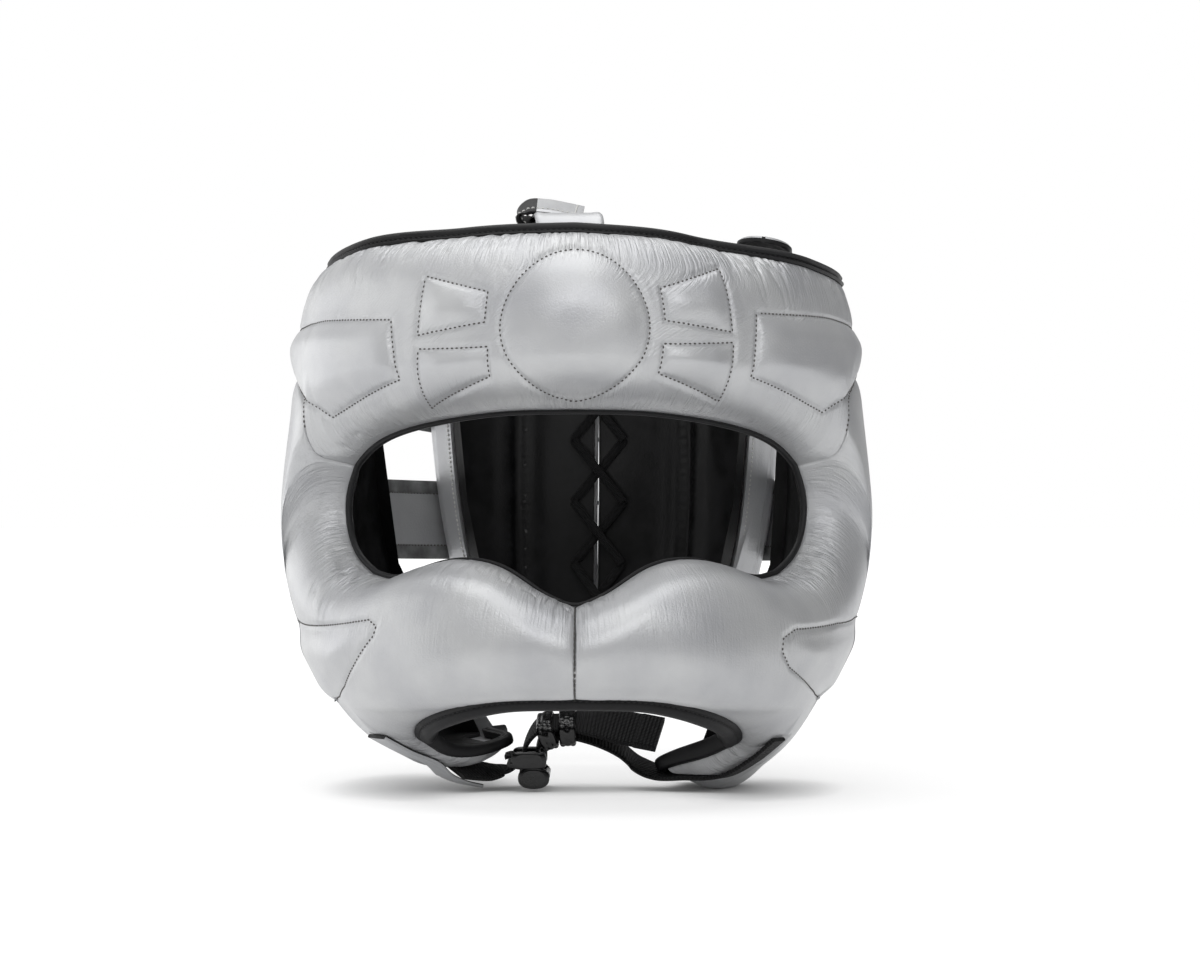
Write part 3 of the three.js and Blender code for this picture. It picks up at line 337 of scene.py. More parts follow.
def valueNoise(x, y, seed):
    # random heights from -1 to 1 on a square lattice, eased between the four corners round a point
    size = 97
    lattice = np.random.default_rng(seed).uniform(-1, 1, (size, size))
    ix, iy = np.floor(x).astype(int), np.floor(y).astype(int)
    fx, fy = ease(0, 1, x - ix), ease(0, 1, y - iy)
    a, b, c, d = (lattice[(ix + i) % size, (iy + j) % size] for j in (0, 1) for i in (0, 1))
    return (a + (b - a) * fx) * (1 - fy) + (c + (d - c) * fx) * fy


def creases(along, away, pitch, reach, depth, seed):
    # folds that leave an edge and fade: narrow valleys of a noise along it, drifting with the distance from it,
    # in clusters of different lengths
    drift = 0.9 * valueNoise(along / (5 * pitch), away / reach, seed + 1) * away / reach
    n = valueNoise(along / pitch + drift, 0.25 * away / pitch, seed)
    cluster = 0.5 + 0.5 * valueNoise(along / (7 * pitch), 0 * away, seed + 2)
    fade = bell(away, 0, reach * (0.45 + 0.75 * cluster)) * ease(0, 2, away)
    return -depth * (1 - np.abs(n)) ** 3 * fade * (0.35 + 0.65 * cluster)


def sweptFaces(count, sides, closed):
    # quads between neighbouring rings, and a fan from a middle point over each open end
    i, k = np.arange(count if closed else count - 1)[:, None], np.arange(sides)[None, :]
    j, m = (i + 1) % count, (k + 1) % sides
    quads = np.stack([i * sides + k, j * sides + k, j * sides + m, i * sides + m], -1).reshape(-1, 4)
    if closed:
        return [quads]
    k = np.arange(sides)
    m, last = (k + 1) % sides, (count - 1) * sides
    start = np.stack([m, k, np.full(sides, count * sides)], -1)
    end = np.stack([last + k, last + m, np.full(sides, count * sides + 1)], -1)
    return [quads, np.vstack([start, end])]


def joinRings(parts):
    # open tubes as one set of points, with two end points each, and their quads and end fans
    points, quads, fans, shift = [], [], [], 0
    for rings in parts:
        q, f = sweptFaces(*rings.shape[:2], False)
        points.append(np.vstack([rings.reshape(-1, 3), rings[0].mean(0), rings[-1].mean(0)]))
        quads.append(q + shift)
        fans.append(f + shift)
        shift += len(points[-1])
    return np.vstack(points), [np.vstack(quads), np.vstack(fans)]


def makePiece(name, points, faces, materials, sharp=50, uv=None, marks=None, kinds=None):
    # vertices and faces straight from arrays in mm; faces are turned so that the signed volume is positive
    points = np.asarray(points, float)
    volume = sum(np.sum(points[f[:, 0]] * np.cross(points[f[:, k]], points[f[:, k + 1]]))
                 for f in faces for k in range(1, f.shape[1] - 1))
    faces = [f if volume > 0 else f[:, ::-1] for f in faces]
    mesh = bpy.data.meshes.new(name)
    corner = np.concatenate([f.ravel() for f in faces]).astype(np.int32)
    sizes = np.concatenate([np.full(len(f), f.shape[1]) for f in faces])
    mesh.vertices.add(len(points))
    mesh.vertices.foreach_set("co", (points * 0.001).astype(np.float32).ravel())
    mesh.loops.add(len(corner))
    mesh.loops.foreach_set("vertex_index", corner)
    mesh.polygons.add(len(sizes))
    mesh.polygons.foreach_set("loop_start", (np.cumsum(sizes) - sizes).astype(np.int32))
    mesh.update(calc_edges=True)
    if uv is not None:
        layer = mesh.uv_layers.new(name="surface")
        layer.data.foreach_set("uv", (np.asarray(uv, float)[corner] * 0.001).astype(np.float32).ravel())
    for label, values in (marks or {}).items():
        layer = mesh.attributes.new(label, "FLOAT", "POINT")
        layer.data.foreach_set("value", np.asarray(values, np.float32).ravel())
    for material in materials:
        mesh.materials.append(material)
    if kinds is not None:
        mesh.polygons.foreach_set("material_index", np.asarray(kinds, np.int32))
    mesh.polygons.foreach_set("use_smooth", np.ones(len(sizes), bool))
    mesh.set_sharp_from_angle(angle=math.radians(sharp))
    piece = bpy.data.objects.new(name, mesh)
    bpy.context.scene.collection.objects.link(piece)
    return piece


def dress(piece, slot, *nodes):
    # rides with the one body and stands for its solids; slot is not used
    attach(piece, "root")
    if nodes:
        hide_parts(*nodes)
    return piece


def ringPiece(name, rings, closed, materials, uv=None, **more):
    # profile rings carried along a path; open ends get a middle point each
    points, faces = rings.reshape(-1, 3), sweptFaces(*rings.shape[:2], closed)
    if not closed:
        points, faces = joinRings([rings])
    if uv is not None:
        ends = [] if closed else [uv[0].mean(0), uv[-1].mean(0)]
        uv = np.vstack([uv.reshape(-1, 2), *ends])
    return makePiece(name, points, faces, materials, uv=uv, **more)


def smoothPath(points, spread, closed):
    # moving average along a path, with a bell of that many samples; the ends of an open path stay
    if spread < 1:
        return points
    weight = np.exp(-0.5 * (np.arange(-3 * spread, 3 * spread + 1) / spread) ** 2)
    weight /= weight.sum()
    pad = 3 * spread
    if closed:
        long = np.concatenate([points[-pad:], points, points[:pad]])
    else:
        head, tail = 2 * points[:1] - points[pad:0:-1], 2 * points[-1:] - points[-2:-pad - 2:-1]
        long = np.concatenate([head, points, tail])
    return np.stack([np.convolve(long[:, c], weight, "valid") for c in range(points.shape[1])], -1)


print("surfaces: hollow, padding and edges are ready")

# cowhide with a pearl silver finish: mica under a clear coat gives broad highlights, the grain breaks them up;
# pores are drawn coarser than on real hide, so that they show
silverLook = {"pale": "#bdbebf", "deep": "#acadb0", "cloudMm": 26, "grainMm": 1.5, "poreMm": 0.55,
              "foldMm": (1.1, 16), "metal": 0.5, "gloss": (0.34, 0.46), "ior": 1.5, "coat": (0.22, 0.3),
              "poreBump": (0.22, 0.00012), "cellBump": (0.16, 0.00016), "foldBump": (1.0, 0.0011)}


def makeSilverLeather(look):
    # cloudy tone, roughness from the pores, and three bumps on each other: pores, grain cells and marked folds
    made = newMaterial("pearl_silver_cowhide")
    place = addNode(made, "TexCoord")
    cloud = addNode(made, "TexNoise", {"Scale": 1000 / look["cloudMm"], "Detail": 3.0},
                    {"Vector": place.outputs["Object"]})
    tone = addNode(made, "ValToRGB", links={"Fac": cloud.outputs["Fac"]})
    for stop, at, code in zip(tone.color_ramp.elements, (0.3, 0.7), (look["deep"], look["pale"])):
        stop.position, stop.color = at, linear(code)
    grain = addNode(made, "TexVoronoi", {"Scale": 1000 / look["grainMm"], "Randomness": 1.0},
                    {"Vector": place.outputs["Object"]}, feature="DISTANCE_TO_EDGE")
    cell = addNode(made, "MapRange", {"From Max": 0.22}, {"Value": grain.outputs["Distance"]})
    pore = addNode(made, "TexNoise", {"Scale": 1000 / look["poreMm"], "Detail": 2.0},
                   {"Vector": place.outputs["Object"]})
    gloss = addNode(made, "MapRange", {"From Min": 0.3, "From Max": 0.7, "To Min": look["gloss"][0],
                    "To Max": look["gloss"][1]}, {"Value": pore.outputs["Fac"]})
    # fine creases run away from the edges: the surface map is stretched across them, the mark says how strong
    wide, long = look["foldMm"]
    lie = addNode(made, "UVMap", uv_map="surface")
    stretch = addNode(made, "Mapping", {"Scale": (1000 / wide, 1000 / long, 1)},
                      {"Vector": lie.outputs["UV"]})
    fold = addNode(made, "TexNoise",
                   {"Scale": 1.0, "Detail": 3.0, "Roughness": 0.6, "Distortion": 0.5},
                   {"Vector": stretch.outputs["Vector"]})
    mark = addNode(made, "Attribute", attribute_name="creased")
    depth = addNode(made, "Math", links={0: fold.outputs["Fac"], 1: mark.outputs["Fac"]},
                    operation="MULTIPLY")
    below = {}
    for bump, high in (("poreBump", pore.outputs["Fac"]), ("cellBump", cell.outputs["Result"]),
                       ("foldBump", depth.outputs["Value"])):
        strong, deep = look[bump]
        bumped = addNode(made, "Bump", {"Strength": strong, "Distance": deep},
                         {"Height": high, **below})
        below = {"Normal": bumped.outputs["Normal"]}
    coat, dull = look["coat"]
    shade = addNode(made, "BsdfPrincipled", {"Metallic": look["metal"], "IOR": look["ior"],
                    "Coat Weight": coat, "Coat Roughness": dull}, {"Base Color": tone.outputs["Color"],
                    "Roughness": gloss.outputs["Result"], **below})
    addNode(made, "OutputMaterial", links={"Surface": shade.outputs[0]})
    return made


# black split leather and binding tape: drum dyed, a dull sheen, a fine pebble grain
tapeLook = {"pale": "#1b1b1d", "deep": "#0f0f10", "grainMm": 0.8, "roughness": (0.42, 0.6), "ior": 1.34,
            "depth": 0.00025}
# black lining cloth: smooth coated knit, a weak gloss on its folds
liningLook = {"pale": "#101012", "deep": "#070708", "grainMm": 0.5, "roughness": (0.32, 0.5), "ior": 1.42,
              "depth": 0.0002}
# moulded nylon: even, shiny, a little uneven from the mould
nylonLook = {"pale": "#0c0c0d", "deep": "#060607", "grainMm": 1.6, "roughness": (0.2, 0.32), "ior": 1.5,
             "depth": 0.0002}
# raw suede of a turned hem: dull, fibrous, darker than the finished side
suedeLook = {"pale": "#838484", "deep": "#565757", "grainMm": 0.7, "roughness": (0.8, 0.95), "ior": 1.3,
             "depth": 0.0005}
wornMm = 9  # patches of wear on all four


def makeGrained(name, look):
    # tone and roughness from one patchy noise, a bump from a fine one
    made = newMaterial(name)
    place = addNode(made, "TexCoord")
    grain = addNode(made, "TexNoise", {"Scale": 1000 / look["grainMm"], "Detail": 3.0},
                    {"Vector": place.outputs["Object"]})
    worn = addNode(made, "TexNoise", {"Scale": 1000 / wornMm, "Detail": 4.0},
                   {"Vector": place.outputs["Object"]})
    tone = addNode(made, "ValToRGB", links={"Fac": worn.outputs["Fac"]})
    for stop, at, code in zip(tone.color_ramp.elements, (0.35, 0.7), (look["deep"], look["pale"])):
        stop.position, stop.color = at, linear(code)
    gloss = addNode(made, "MapRange",
                    {"From Min": 0.3, "From Max": 0.7, "To Min": look["roughness"][0],
                     "To Max": look["roughness"][1]}, {"Value": worn.outputs["Fac"]})
    bump = addNode(made, "Bump", {"Strength": 0.35, "Distance": look["depth"]},
                   {"Height": grain.outputs["Fac"]})
    shade = addNode(made, "BsdfPrincipled", {"IOR": look["ior"]},
                    {"Base Color": tone.outputs["Color"], "Roughness": gloss.outputs["Result"],
                     "Normal": bump.outputs["Normal"]})
    addNode(made, "OutputMaterial", links={"Surface": shade.outputs[0]})
    return made


# woven polypropylene webbing: weft ribs across the strap every 1.5 mm, the warp shows faintly between them
webbingLook = {"pale": "#121214", "deep": "#050506", "ribMm": 0.9, "weftMm": 1.5, "depth": 0.0006}


def makeWebbing(name, look):
    # two sine waves on the surface map: the weft plus a third of the warp, for the tone and the bump
    made = newMaterial(name)
    lie = addNode(made, "UVMap", uv_map="surface")
    rib, weft = (
        addNode(made, "TexWave", {"Scale": 1000 / look[mm] * math.pi / 10, "Distortion": 0.0},
                {"Vector": lie.outputs["UV"]}, wave_type="BANDS", bands_direction=way, wave_profile="SIN")
        for mm, way in (("ribMm", "X"), ("weftMm", "Y")))
    weave = addNode(made, "Math", {1: 0.35}, {0: rib.outputs["Fac"], 2: weft.outputs["Fac"]},
                    operation="MULTIPLY_ADD")
    tone = addNode(made, "ValToRGB", links={"Fac": weave.outputs["Value"]})
    for stop, at, code in zip(tone.color_ramp.elements, (0.2, 1.0), (look["deep"], look["pale"])):
        stop.position, stop.color = at, linear(code)
    bump = addNode(made, "Bump", {"Strength": 0.8, "Distance": look["depth"]},
                   {"Height": weave.outputs["Value"]})
    shade = addNode(made, "BsdfPrincipled",
                    {"Roughness": 0.62, "IOR": 1.36, "Sheen Weight": 0.03, "Sheen Roughness": 0.4},
                    {"Base Color": tone.outputs["Color"], "Normal": bump.outputs["Normal"]})
    addNode(made, "OutputMaterial", links={"Surface": shade.outputs[0]})
    return made


# bonded polyester thread: a faint twist, dull
threadLook = {"dark": "#474542", "black": "#141415", "light": "#c9c9c6", "twistMm": 0.5}


def makeThread(name, code):
    # one colour with a bump from a fine noise, the twist
    made = newMaterial(name)
    place = addNode(made, "TexCoord")
    twist = addNode(made, "TexNoise", {"Scale": 1000 / threadLook["twistMm"]},
                    {"Vector": place.outputs["Object"]})
    bump = addNode(made, "Bump", {"Strength": 0.4, "Distance": 0.0001},
                   {"Height": twist.outputs["Fac"]})
    shade = addNode(made, "BsdfPrincipled", {"Base Color": linear(code), "Roughness": 0.6},
                    {"Normal": bump.outputs["Normal"]})
    addNode(made, "OutputMaterial", links={"Surface": shade.outputs[0]})
    return made


silverLeather = makeSilverLeather(silverLook)
greySuede = makeGrained("grey_suede_edge", suedeLook)
blackTape = makeGrained("black_binding_leather", tapeLook)
blackLining = makeGrained("black_coated_lining", liningLook)
blackNylon = makeGrained("moulded_black_nylon", nylonLook)
blackWebbing = makeWebbing("ribbed_black_webbing", webbingLook)
darkThread = makeThread("grey_bonded_thread", threadLook["dark"])
blackThread = makeThread("black_bonded_thread", threadLook["black"])
lightThread = makeThread("pale_bonded_thread", threadLook["light"])
print("materials: leather, tape, lining, webbing, nylon and thread")

perDegree = 1.9  # mm on the padding's outer face for one degree

# sewn panels on the brow and cheeks: outlines in degrees and mm, right side positive
panels = {
    "rise": 3.0, "slope": 12, "swell": 2.2, "groove": 0.7, "grooveWidth": 1.1,
    "disc": {"height": 182, "halfAngle": 16.8, "halfHeight": 27.5, "rise": 3.6, "slope": 22},
    "brow": [
        [(35.9, 204), (19.7, 196.2), (20.3, 184.3), (36.6, 179.8)],
        [(36.8, 175.6), (19.8, 175.3), (19.0, 163.4), (35.8, 153)],
        [(43.2, 187.6), (41.3, 161.3), (62.7, 147.4), (88, 172), (90, 184.5), (66, 187.2)],
        [(-36.4, 201), (-20, 195), (-20.3, 183.7), (-36.7, 178.5)],
        [(-36.5, 173), (-19.5, 174.2), (-19.5, 162.4), (-37, 151.2)],
        [(-44, 185), (-41.4, 160.2), (-62.4, 145.6), (-88, 171), (-90, 184), (-66, 186)],
    ],
    "cheek": {
        1: [(122, 80), (84, 77.5), (58.9, 74.6), (43, 70.2), (39.2, 67), (38.6, 63.6), (40.6, 59.8),
            (52.6, 51.5), (62, 46.5), (86, 39), (122, 34)],
        -1: [(-122, 79), (-84, 76), (-57, 73.6), (-39.5, 72.3), (-37.2, 70), (-37.6, 67.4), (-42.8, 60.5),
             (-49.1, 53), (-59, 46), (-84, 38), (-122, 34)],
    },
}


def sideDistances(corners, place):
    # distance in mm on the unrolled surface to the line of each side of a convex outline, positive inside
    ends = np.array(corners, float) * (perDegree, 1)
    way = np.roll(ends, -1, 0) - ends
    turn = np.sign(np.sum(ends[:, 0] * np.roll(ends[:, 1], -1) - np.roll(ends[:, 0], -1) * ends[:, 1]))
    inward = np.stack([-way[:, 1], way[:, 0]], -1) * turn / np.linalg.norm(way, axis=1, keepdims=True)
    off = place[None] * (perDegree, 1) - ends[:, None, None]
    return np.sum(off * inward[:, None, None], -1)


def panelRelief(outlines, place):
    # each panel is a pillow: the product over its sides of 1 - (1 - t)^swell from the stitch line inwards;
    # the line itself is sunk
    rise, line, inside = np.zeros(place.shape[:2]), np.zeros(place.shape[:2]), np.full(place.shape[:2], -99.0)
    for corners in outlines:
        far = sideDistances(corners, place)
        least = far.min(0)
        pillow = np.prod(1 - (1 - np.clip(far / panels["slope"], 0, 1)) ** panels["swell"], 0)
        rise = np.maximum(rise, panels["rise"] * pillow)
        line = np.maximum(line, bell(least, 0, panels["grooveWidth"]))
        inside = np.maximum(inside, least)
    return rise, line, inside


def discRelief(place):
    # dome: 1 - (1 - t)^swell from its stitched rim inwards
    disc = panels["disc"]
    far = np.hypot(place[..., 0] / disc["halfAngle"], (place[..., 1] - disc["height"]) / disc["halfHeight"])
    inside = (1 - far) * disc["halfHeight"]
    line = bell(inside, 0, panels["grooveWidth"])
    dome = 1 - (1 - np.clip(inside / disc["slope"], 0, 1)) ** panels["swell"]
    return disc["rise"] * dome, line, inside


def padFaces(place, bottom, top, start, end, rise):
    # inner face on the hollow, outer face along its normal by the foam times the roll at each of the four edges
    inner, normal = onHollow(place)
    along, across = runs(inner, 1), runs(inner, 0)
    share = rollAt(along, *bottom) * rollAt(along[:, -1:] - along, *top)
    ends = rollAt(across, *start) * rollAt(across[-1:] - across, *end)
    thick = foamAt(place[..., 0], place[..., 1]) * share * ends + rise * share
    outer = inner + normal * thick[..., None]
    outer[..., 2] = np.maximum(outer[..., 2], 0)
    return {"place": place, "inner": inner, "outer": outer, "normal": normal}


def blendRoll(first, second, share):
    # roll that changes from one kind of edge to another along the columns
    a, b = np.array(rollOver[first]), np.array(rollOver[second])
    both = a + (b - a) * share[:, None]
    return both[:, :1], both[:, 1:]


def widened(roll, fromCorner, more=0.75, reach=3.5):
    # roll made wider round the eye's outer corner: the width times 1 + a bell over the spans from it
    return roll[0] * (1 + more * bell(fromCorner, 0, reach))[:, None], roll[1]


def closedPad(name, faces, marks, innerRows=14):
    # ring of each column: up the outer face, down a few rows of the inner face
    # the surface map's first axis follows the columns: length along the bottom edge eased into the top one's
    outer, inner = faces["outer"], faces["inner"]
    rows = outer.shape[1]
    low, high = (runs(outer[:, k], 0)[:, None] for k in (rows // 8, rows - 1 - rows // 8))
    across = low + (high - low) * ease(0.25, 0.75, np.linspace(0, 1, rows))[None]
    back = np.linspace(rows - 1, 0, innerRows).round().astype(int)
    rings = np.concatenate([outer, inner[:, back]], 1)
    lie = np.stack([across, runs(outer, 1)], -1)
    uv = np.concatenate([lie, lie[:, back]], 1)
    creased = np.concatenate([marks, marks[:, back] * 0], 1).ravel()
    return ringPiece(name, rings, False, [silverLeather], uv=uv, sharp=60,
                     marks={"creased": np.concatenate([creased, [0, 0]])})


def spread(rows):
    # places between rows: half even, half crowded to both edges
    u = np.linspace(0, 1, rows)
    return 0.5 * u + 0.5 * (0.5 - 0.5 * np.cos(np.pi * u))


edgeRow = 12  # row near an edge along which folds are spaced


def padRelief(faces, line, dents, seed):
    # lengths on the outer face, and its first relief: sunk stitch lines and dents, both gone at the edges
    up, along = runs(faces["outer"], 1), runs(faces["outer"], 0)
    toTop = up[:, -1:] - up
    low, high = (np.broadcast_to(along[:, k, None], up.shape) for k in (edgeRow, -edgeRow))
    deep, long, tall, fade = dents
    relief = deep * valueNoise(along / long, up / tall, seed) * ease(3, fade, up) * ease(3, fade, toTop)
    return relief - panels["groove"] * line * ease(2, 9, up) * ease(2, 9, toTop), up, toTop, low, high


def embossed(faces, relief, spot):
    # outer face moved along its normals by the relief, down to the floor at most
    outer = faces["outer"] + gridNormals(faces["outer"], faces["normal"]) * relief[..., None]
    outer[..., 2] = np.maximum(outer[..., 2], 0)
    return {**faces, "outer": outer, "outward": gridNormals(outer, faces["normal"]), "spot": spot}


browSizes = {"eyeSpans": 15, "seamSpans": 6, "perSpan": 13, "rows": 140, "inset": 0.55, "blend": 0.8,
             "topFolds": (3.0, 20, 1.3), "eyeFolds": (3.0, 11, 0.7), "dents": (0.35, 22, 18, 16),
             "fuller": (34, 64), "marks": (20, 14, 3.5)}


def buildBrow(sizes):
    # pad from the eye's upper edge and the seam to the top edge; folds leave both edges, fewer on the panels
    spans = sizes["eyeSpans"] + sizes["seamSpans"]
    spot = np.linspace(-spans, spans, 2 * spans * sizes["perSpan"] + 1)
    side, turn = np.abs(spot), np.sign(spot)[:, None]
    eye = sizes["eyeSpans"]
    bottom = np.where(side[:, None] <= eye, edgeAt("eyeUpper", side / eye),
                      edgeAt("browSeam", (side - eye) / sizes["seamSpans"]))
    top = np.where(turn > 0, edgeAt("topEdgeRight", side / spans), edgeAt("topEdge", side / spans))
    flip = np.concatenate([turn, np.ones_like(turn)], 1)
    place = ruled(bottom * flip, top * flip, spread(sizes["rows"]), sizes["inset"])
    fuller = ease(*sizes["fuller"], np.abs(top[:, 0]))
    soft = ease(eye - sizes["blend"], eye + sizes["blend"], side)
    rise, line, inside = panelRelief(panels["brow"], place)
    dome, ring, within = discRelief(place)
    faces = padFaces(place, widened(blendRoll("eye", "seam", soft), side - eye),
                     [np.where(turn > 0, *pair) for pair in zip(blendRoll("top", "topRight", fuller),
                                                                blendRoll("top", "topSide", fuller))],
                     rollOver["ear"], rollOver["ear"], np.maximum(rise, dome))
    relief, up, toTop, low, high = padRelief(faces, np.maximum(line, ring), sizes["dents"], 31)
    within = np.maximum(inside, within)
    quiet = 1 - 0.85 * ease(0, 6, within)
    folds = creases(high, toTop, *sizes["topFolds"], 11) + creases(low, up, *sizes["eyeFolds"], 21)
    faces = embossed(faces, relief + folds * quiet, spot)
    byTop, byEye, byLine = (bell(far, 0, reach) for far, reach in zip((toTop, up, within), sizes["marks"]))
    marks = (byTop + 0.6 * byEye + 0.1) * (0.25 + 0.75 * quiet) + 0.4 * byLine
    piece = dress(closedPad("brow_pad_leather", faces, marks), "leather_silver", "forehead_pad")
    return faces


# folds are strongest at the eye's outer corner, the nose dip and the jaw corner: base, then span, width, height
guardSizes = {"chinSpans": 13, "endSpans": 6, "seamSpans": 6, "perSpan": 15, "rows": 170, "inset": 0.55,
              "blend": 0.7, "centre": 0.13, "bow": 28, "eyeFolds": (2.8, 20, 1.5), "chinFolds": (3.2, 12, 1.1),
              "dents": (0.3, 26, 22, 18), "eyeStrong": (0.25, (14, 1.7, 1.5), (0, 2.8, 0.9)),
              "chinStrong": (0.35, (13, 1.6, 1.1)), "marks": (18, 13, 3.5), "hidden": (92, 66)}


def strength(spot, base, *peaks):
    # base plus a bell at each peak
    for at, wide, high in peaks:
        base = base + high * bell(spot, at, wide)
    return base[:, None]


def buildGuard(side, sizes):
    # half a face guard with its flap, from the chin and flap edges to the eye and seam edges; folds leave the
    # eye and chin edges, and all relief is gone at the floor
    chin, corner = sizes["chinSpans"], sizes["chinSpans"] + sizes["endSpans"]
    last = corner + sizes["seamSpans"]
    spot = np.linspace(0, last, last * sizes["perSpan"] + 1)
    column = spot[:, None]
    hand = "Right" if side > 0 else ""
    bottom, top = (
        np.where(column <= chin, edgeAt(first, spot / chin), np.where(
            column <= corner, edgeAt(second, (spot - chin) / sizes["endSpans"]),
            edgeAt(third, (spot - corner) / sizes["seamSpans"])))
        for first, second, third in (("chinRim" + hand, "flapFront" + hand, "flapTip" + hand),
                                     ("eyeLower", "eyeEnd", "browSeam")))
    for edge in (bottom, top):
        edge[:, 0] = np.maximum(edge[:, 0], sizes["centre"])
    bow = sizes["bow"] * np.where(spot <= corner, ease(chin, corner, spot), ease(last, corner, spot))
    place = ruled(bottom, top, spread(sizes["rows"]), sizes["inset"], bow)
    place[..., 0] *= side
    rise, line, inside = panelRelief([panels["cheek"][side]], place)
    soft = ease(corner - sizes["blend"], corner + sizes["blend"], spot)
    faces = padFaces(place, blendRoll("chin", "flap", ease(chin - 0.5, chin + 1.2, spot)),
                     widened(blendRoll("eye", "seam", soft), spot - corner),
                     rollOver["centre"], rollOver["ear"], rise)
    seed = 40 if side > 0 else 60
    line = line * ease(*sizes["hidden"], np.abs(place[..., 0]))
    relief, up, toTop, low, high = padRelief(faces, line, sizes["dents"], seed + 9)
    eyeStrong, chinStrong = strength(spot, *sizes["eyeStrong"]), strength(spot, *sizes["chinStrong"])
    onEye = ease(corner + 1.5, corner - 0.5, spot)[:, None]
    aboveFloor = faces["outer"][..., 2]
    relief += creases(high, toTop, *sizes["eyeFolds"], seed) * eyeStrong * onEye
    relief += creases(low, up, *sizes["chinFolds"], seed + 5) * chinStrong * ease(0, 4, aboveFloor)
    byEye, byChin, byLine = (bell(far, 0, reach) for far, reach in zip((toTop, up, inside), sizes["marks"]))
    marks = byEye * eyeStrong * onEye + 0.12 + 0.7 * byChin * chinStrong + 0.4 * byLine
    return {**embossed(faces, relief * ease(0, 6, aboveFloor), spot), "marks": marks}


brow = buildBrow(browSizes)
guards = {"right": buildGuard(1, guardSizes), "left": buildGuard(-1, guardSizes)}
print("shell: brow pad and both face guard halves are shaped")

# free straps in mm: x, y, z of the centre line, compass turn of the width in degrees (0 along +X), its slope;
# the bed is the width that a strap presses into a flap
straps = {
    "crown": {"width": 27, "thick": 2.4, "sides": 22, "hem": (0.25, 3.2), "rows": [
        (-2, -63, 206, 0, 0), (-2, -58.5, 219, 0, 0), (-2.2, -56, 227, 0, 0), (-3, -50, 231.2, 0, 0),
        (-5, -34, 231.4, 0, 0), (-8, 0, 228.6, 0, 0), (-9, 50, 222.5, 0, 0),
        (-8, 100, 205, 0, 0), (-8, 124, 180, 0, 0), (-8, 126, 158, 0, 0)]},
    "loop": {"width": 19, "thick": 2.2, "sides": 20, "bend": -15.5, "rows": [
        (0, -38, 229, 90, 20), (-6, -38, 229, 90, 20), (-13, -38, 228.8, 90, 20), (-19, -38, 229.4, 90, 20),
        (-22.2, -38, 232.6, 90, 20), (-19, -38, 235.9, 90, 20), (-12, -38, 236, 90, 20),
        (-4, -38, 234.6, 90, 20), (2.6, -38, 233.2, 90, 20)]},
    "hook": {"width": 23, "thick": 2.4, "sides": 22, "hem": (0.2, 2.4), "tip": 10, "rows": [
        (49, 114.5, 168, -24, 0), (50, 113.7, 186, -24, 0), (62, 94, 205, -24, 0), (75, 56, 215.5, -16, -3),
        (79, 22, 219.5, -6, -6), (78, 4, 222.2, -2, -8), (77, -8, 225.2, 0, -9)]},
    "webbing": {"width": 20, "thick": 1.6, "sides": 18, "bed": 11, "folded": (43, 88), "turned": (9.6, 9),
                "rows": [
        (46, -32, 5.6, 62, 0), (35, -25, 6.2, 76, 8), (25, -20, 10.2, 90, 15), (17, -20, 16.5, 90, 15),
        (6, -21, 21.5, 90, 15), (-4, -22, 23.6, 90, 15), (-12, -22, 22, 90, 15), (-15.6, -22, 17, 90, 4),
        (-15.4, -22, 11, 90, 0), (-18.4, -22, 7.9, 90, 0), (-21.3, -22, 11, 90, 0), (-20.6, -22, 18, 90, 4),
        (-15, -22, 25.6, 90, 15), (-4, -22, 27.2, 90, 15), (8, -23, 27.2, 90, 32), (20, -24, 25, 90, 38),
        (34, -26, 22.4, 90, 38)]},
    "patch": {"width": 12, "thick": 1.6, "sides": 18, "bed": 13, "shift": 5.5, "rows": [
        (-50, -37, 6.8, 124, 0), (-44, -32.5, 3.6, 123, 0), (-38, -28.5, 1.8, 122, 0)]},
    "buckle": {"width": 20, "thick": 1.6, "sides": 18, "bed": 20, "rows": [
        (-50, -33, 9, 100, 14), (-44, -29, 8.4, 97, 16), (-38, -25, 7.9, 93, 16), (-31, -22, 7.8, 90, 6),
        (-26.6, -22, 8.4, 90, 0), (-24, -22, 11.2, 90, 0), (-26.3, -22, 14, 90, 0), (-29, -22, 13.4, 90, 0)]},
    "sewn": {"share": 0.92, "spots": [(52, 31), (53, 24), (54, 17)], "right": 4},
}


def sewnRows(side):
    # first rows of a strap that is sewn to the outside of a jaw flap, on most of the foam's thickness
    spot = np.array(straps["sewn"]["spots"], float)
    spot[:, 0] += straps["sewn"]["right"] * (side > 0)
    angle = side * spot[:, 0]
    lift = straps["sewn"]["share"] * foamAt(angle, spot[:, 1])
    point, normal = onHollow(np.stack([angle, spot[:, 1]], -1))
    point = point + normal * lift[:, None]
    point[:, 2] = np.maximum(point[:, 2], 0.8)
    turn = spot[:, 0] if side > 0 else 180 - spot[:, 0]
    return np.column_stack([point, turn, 0 * turn])


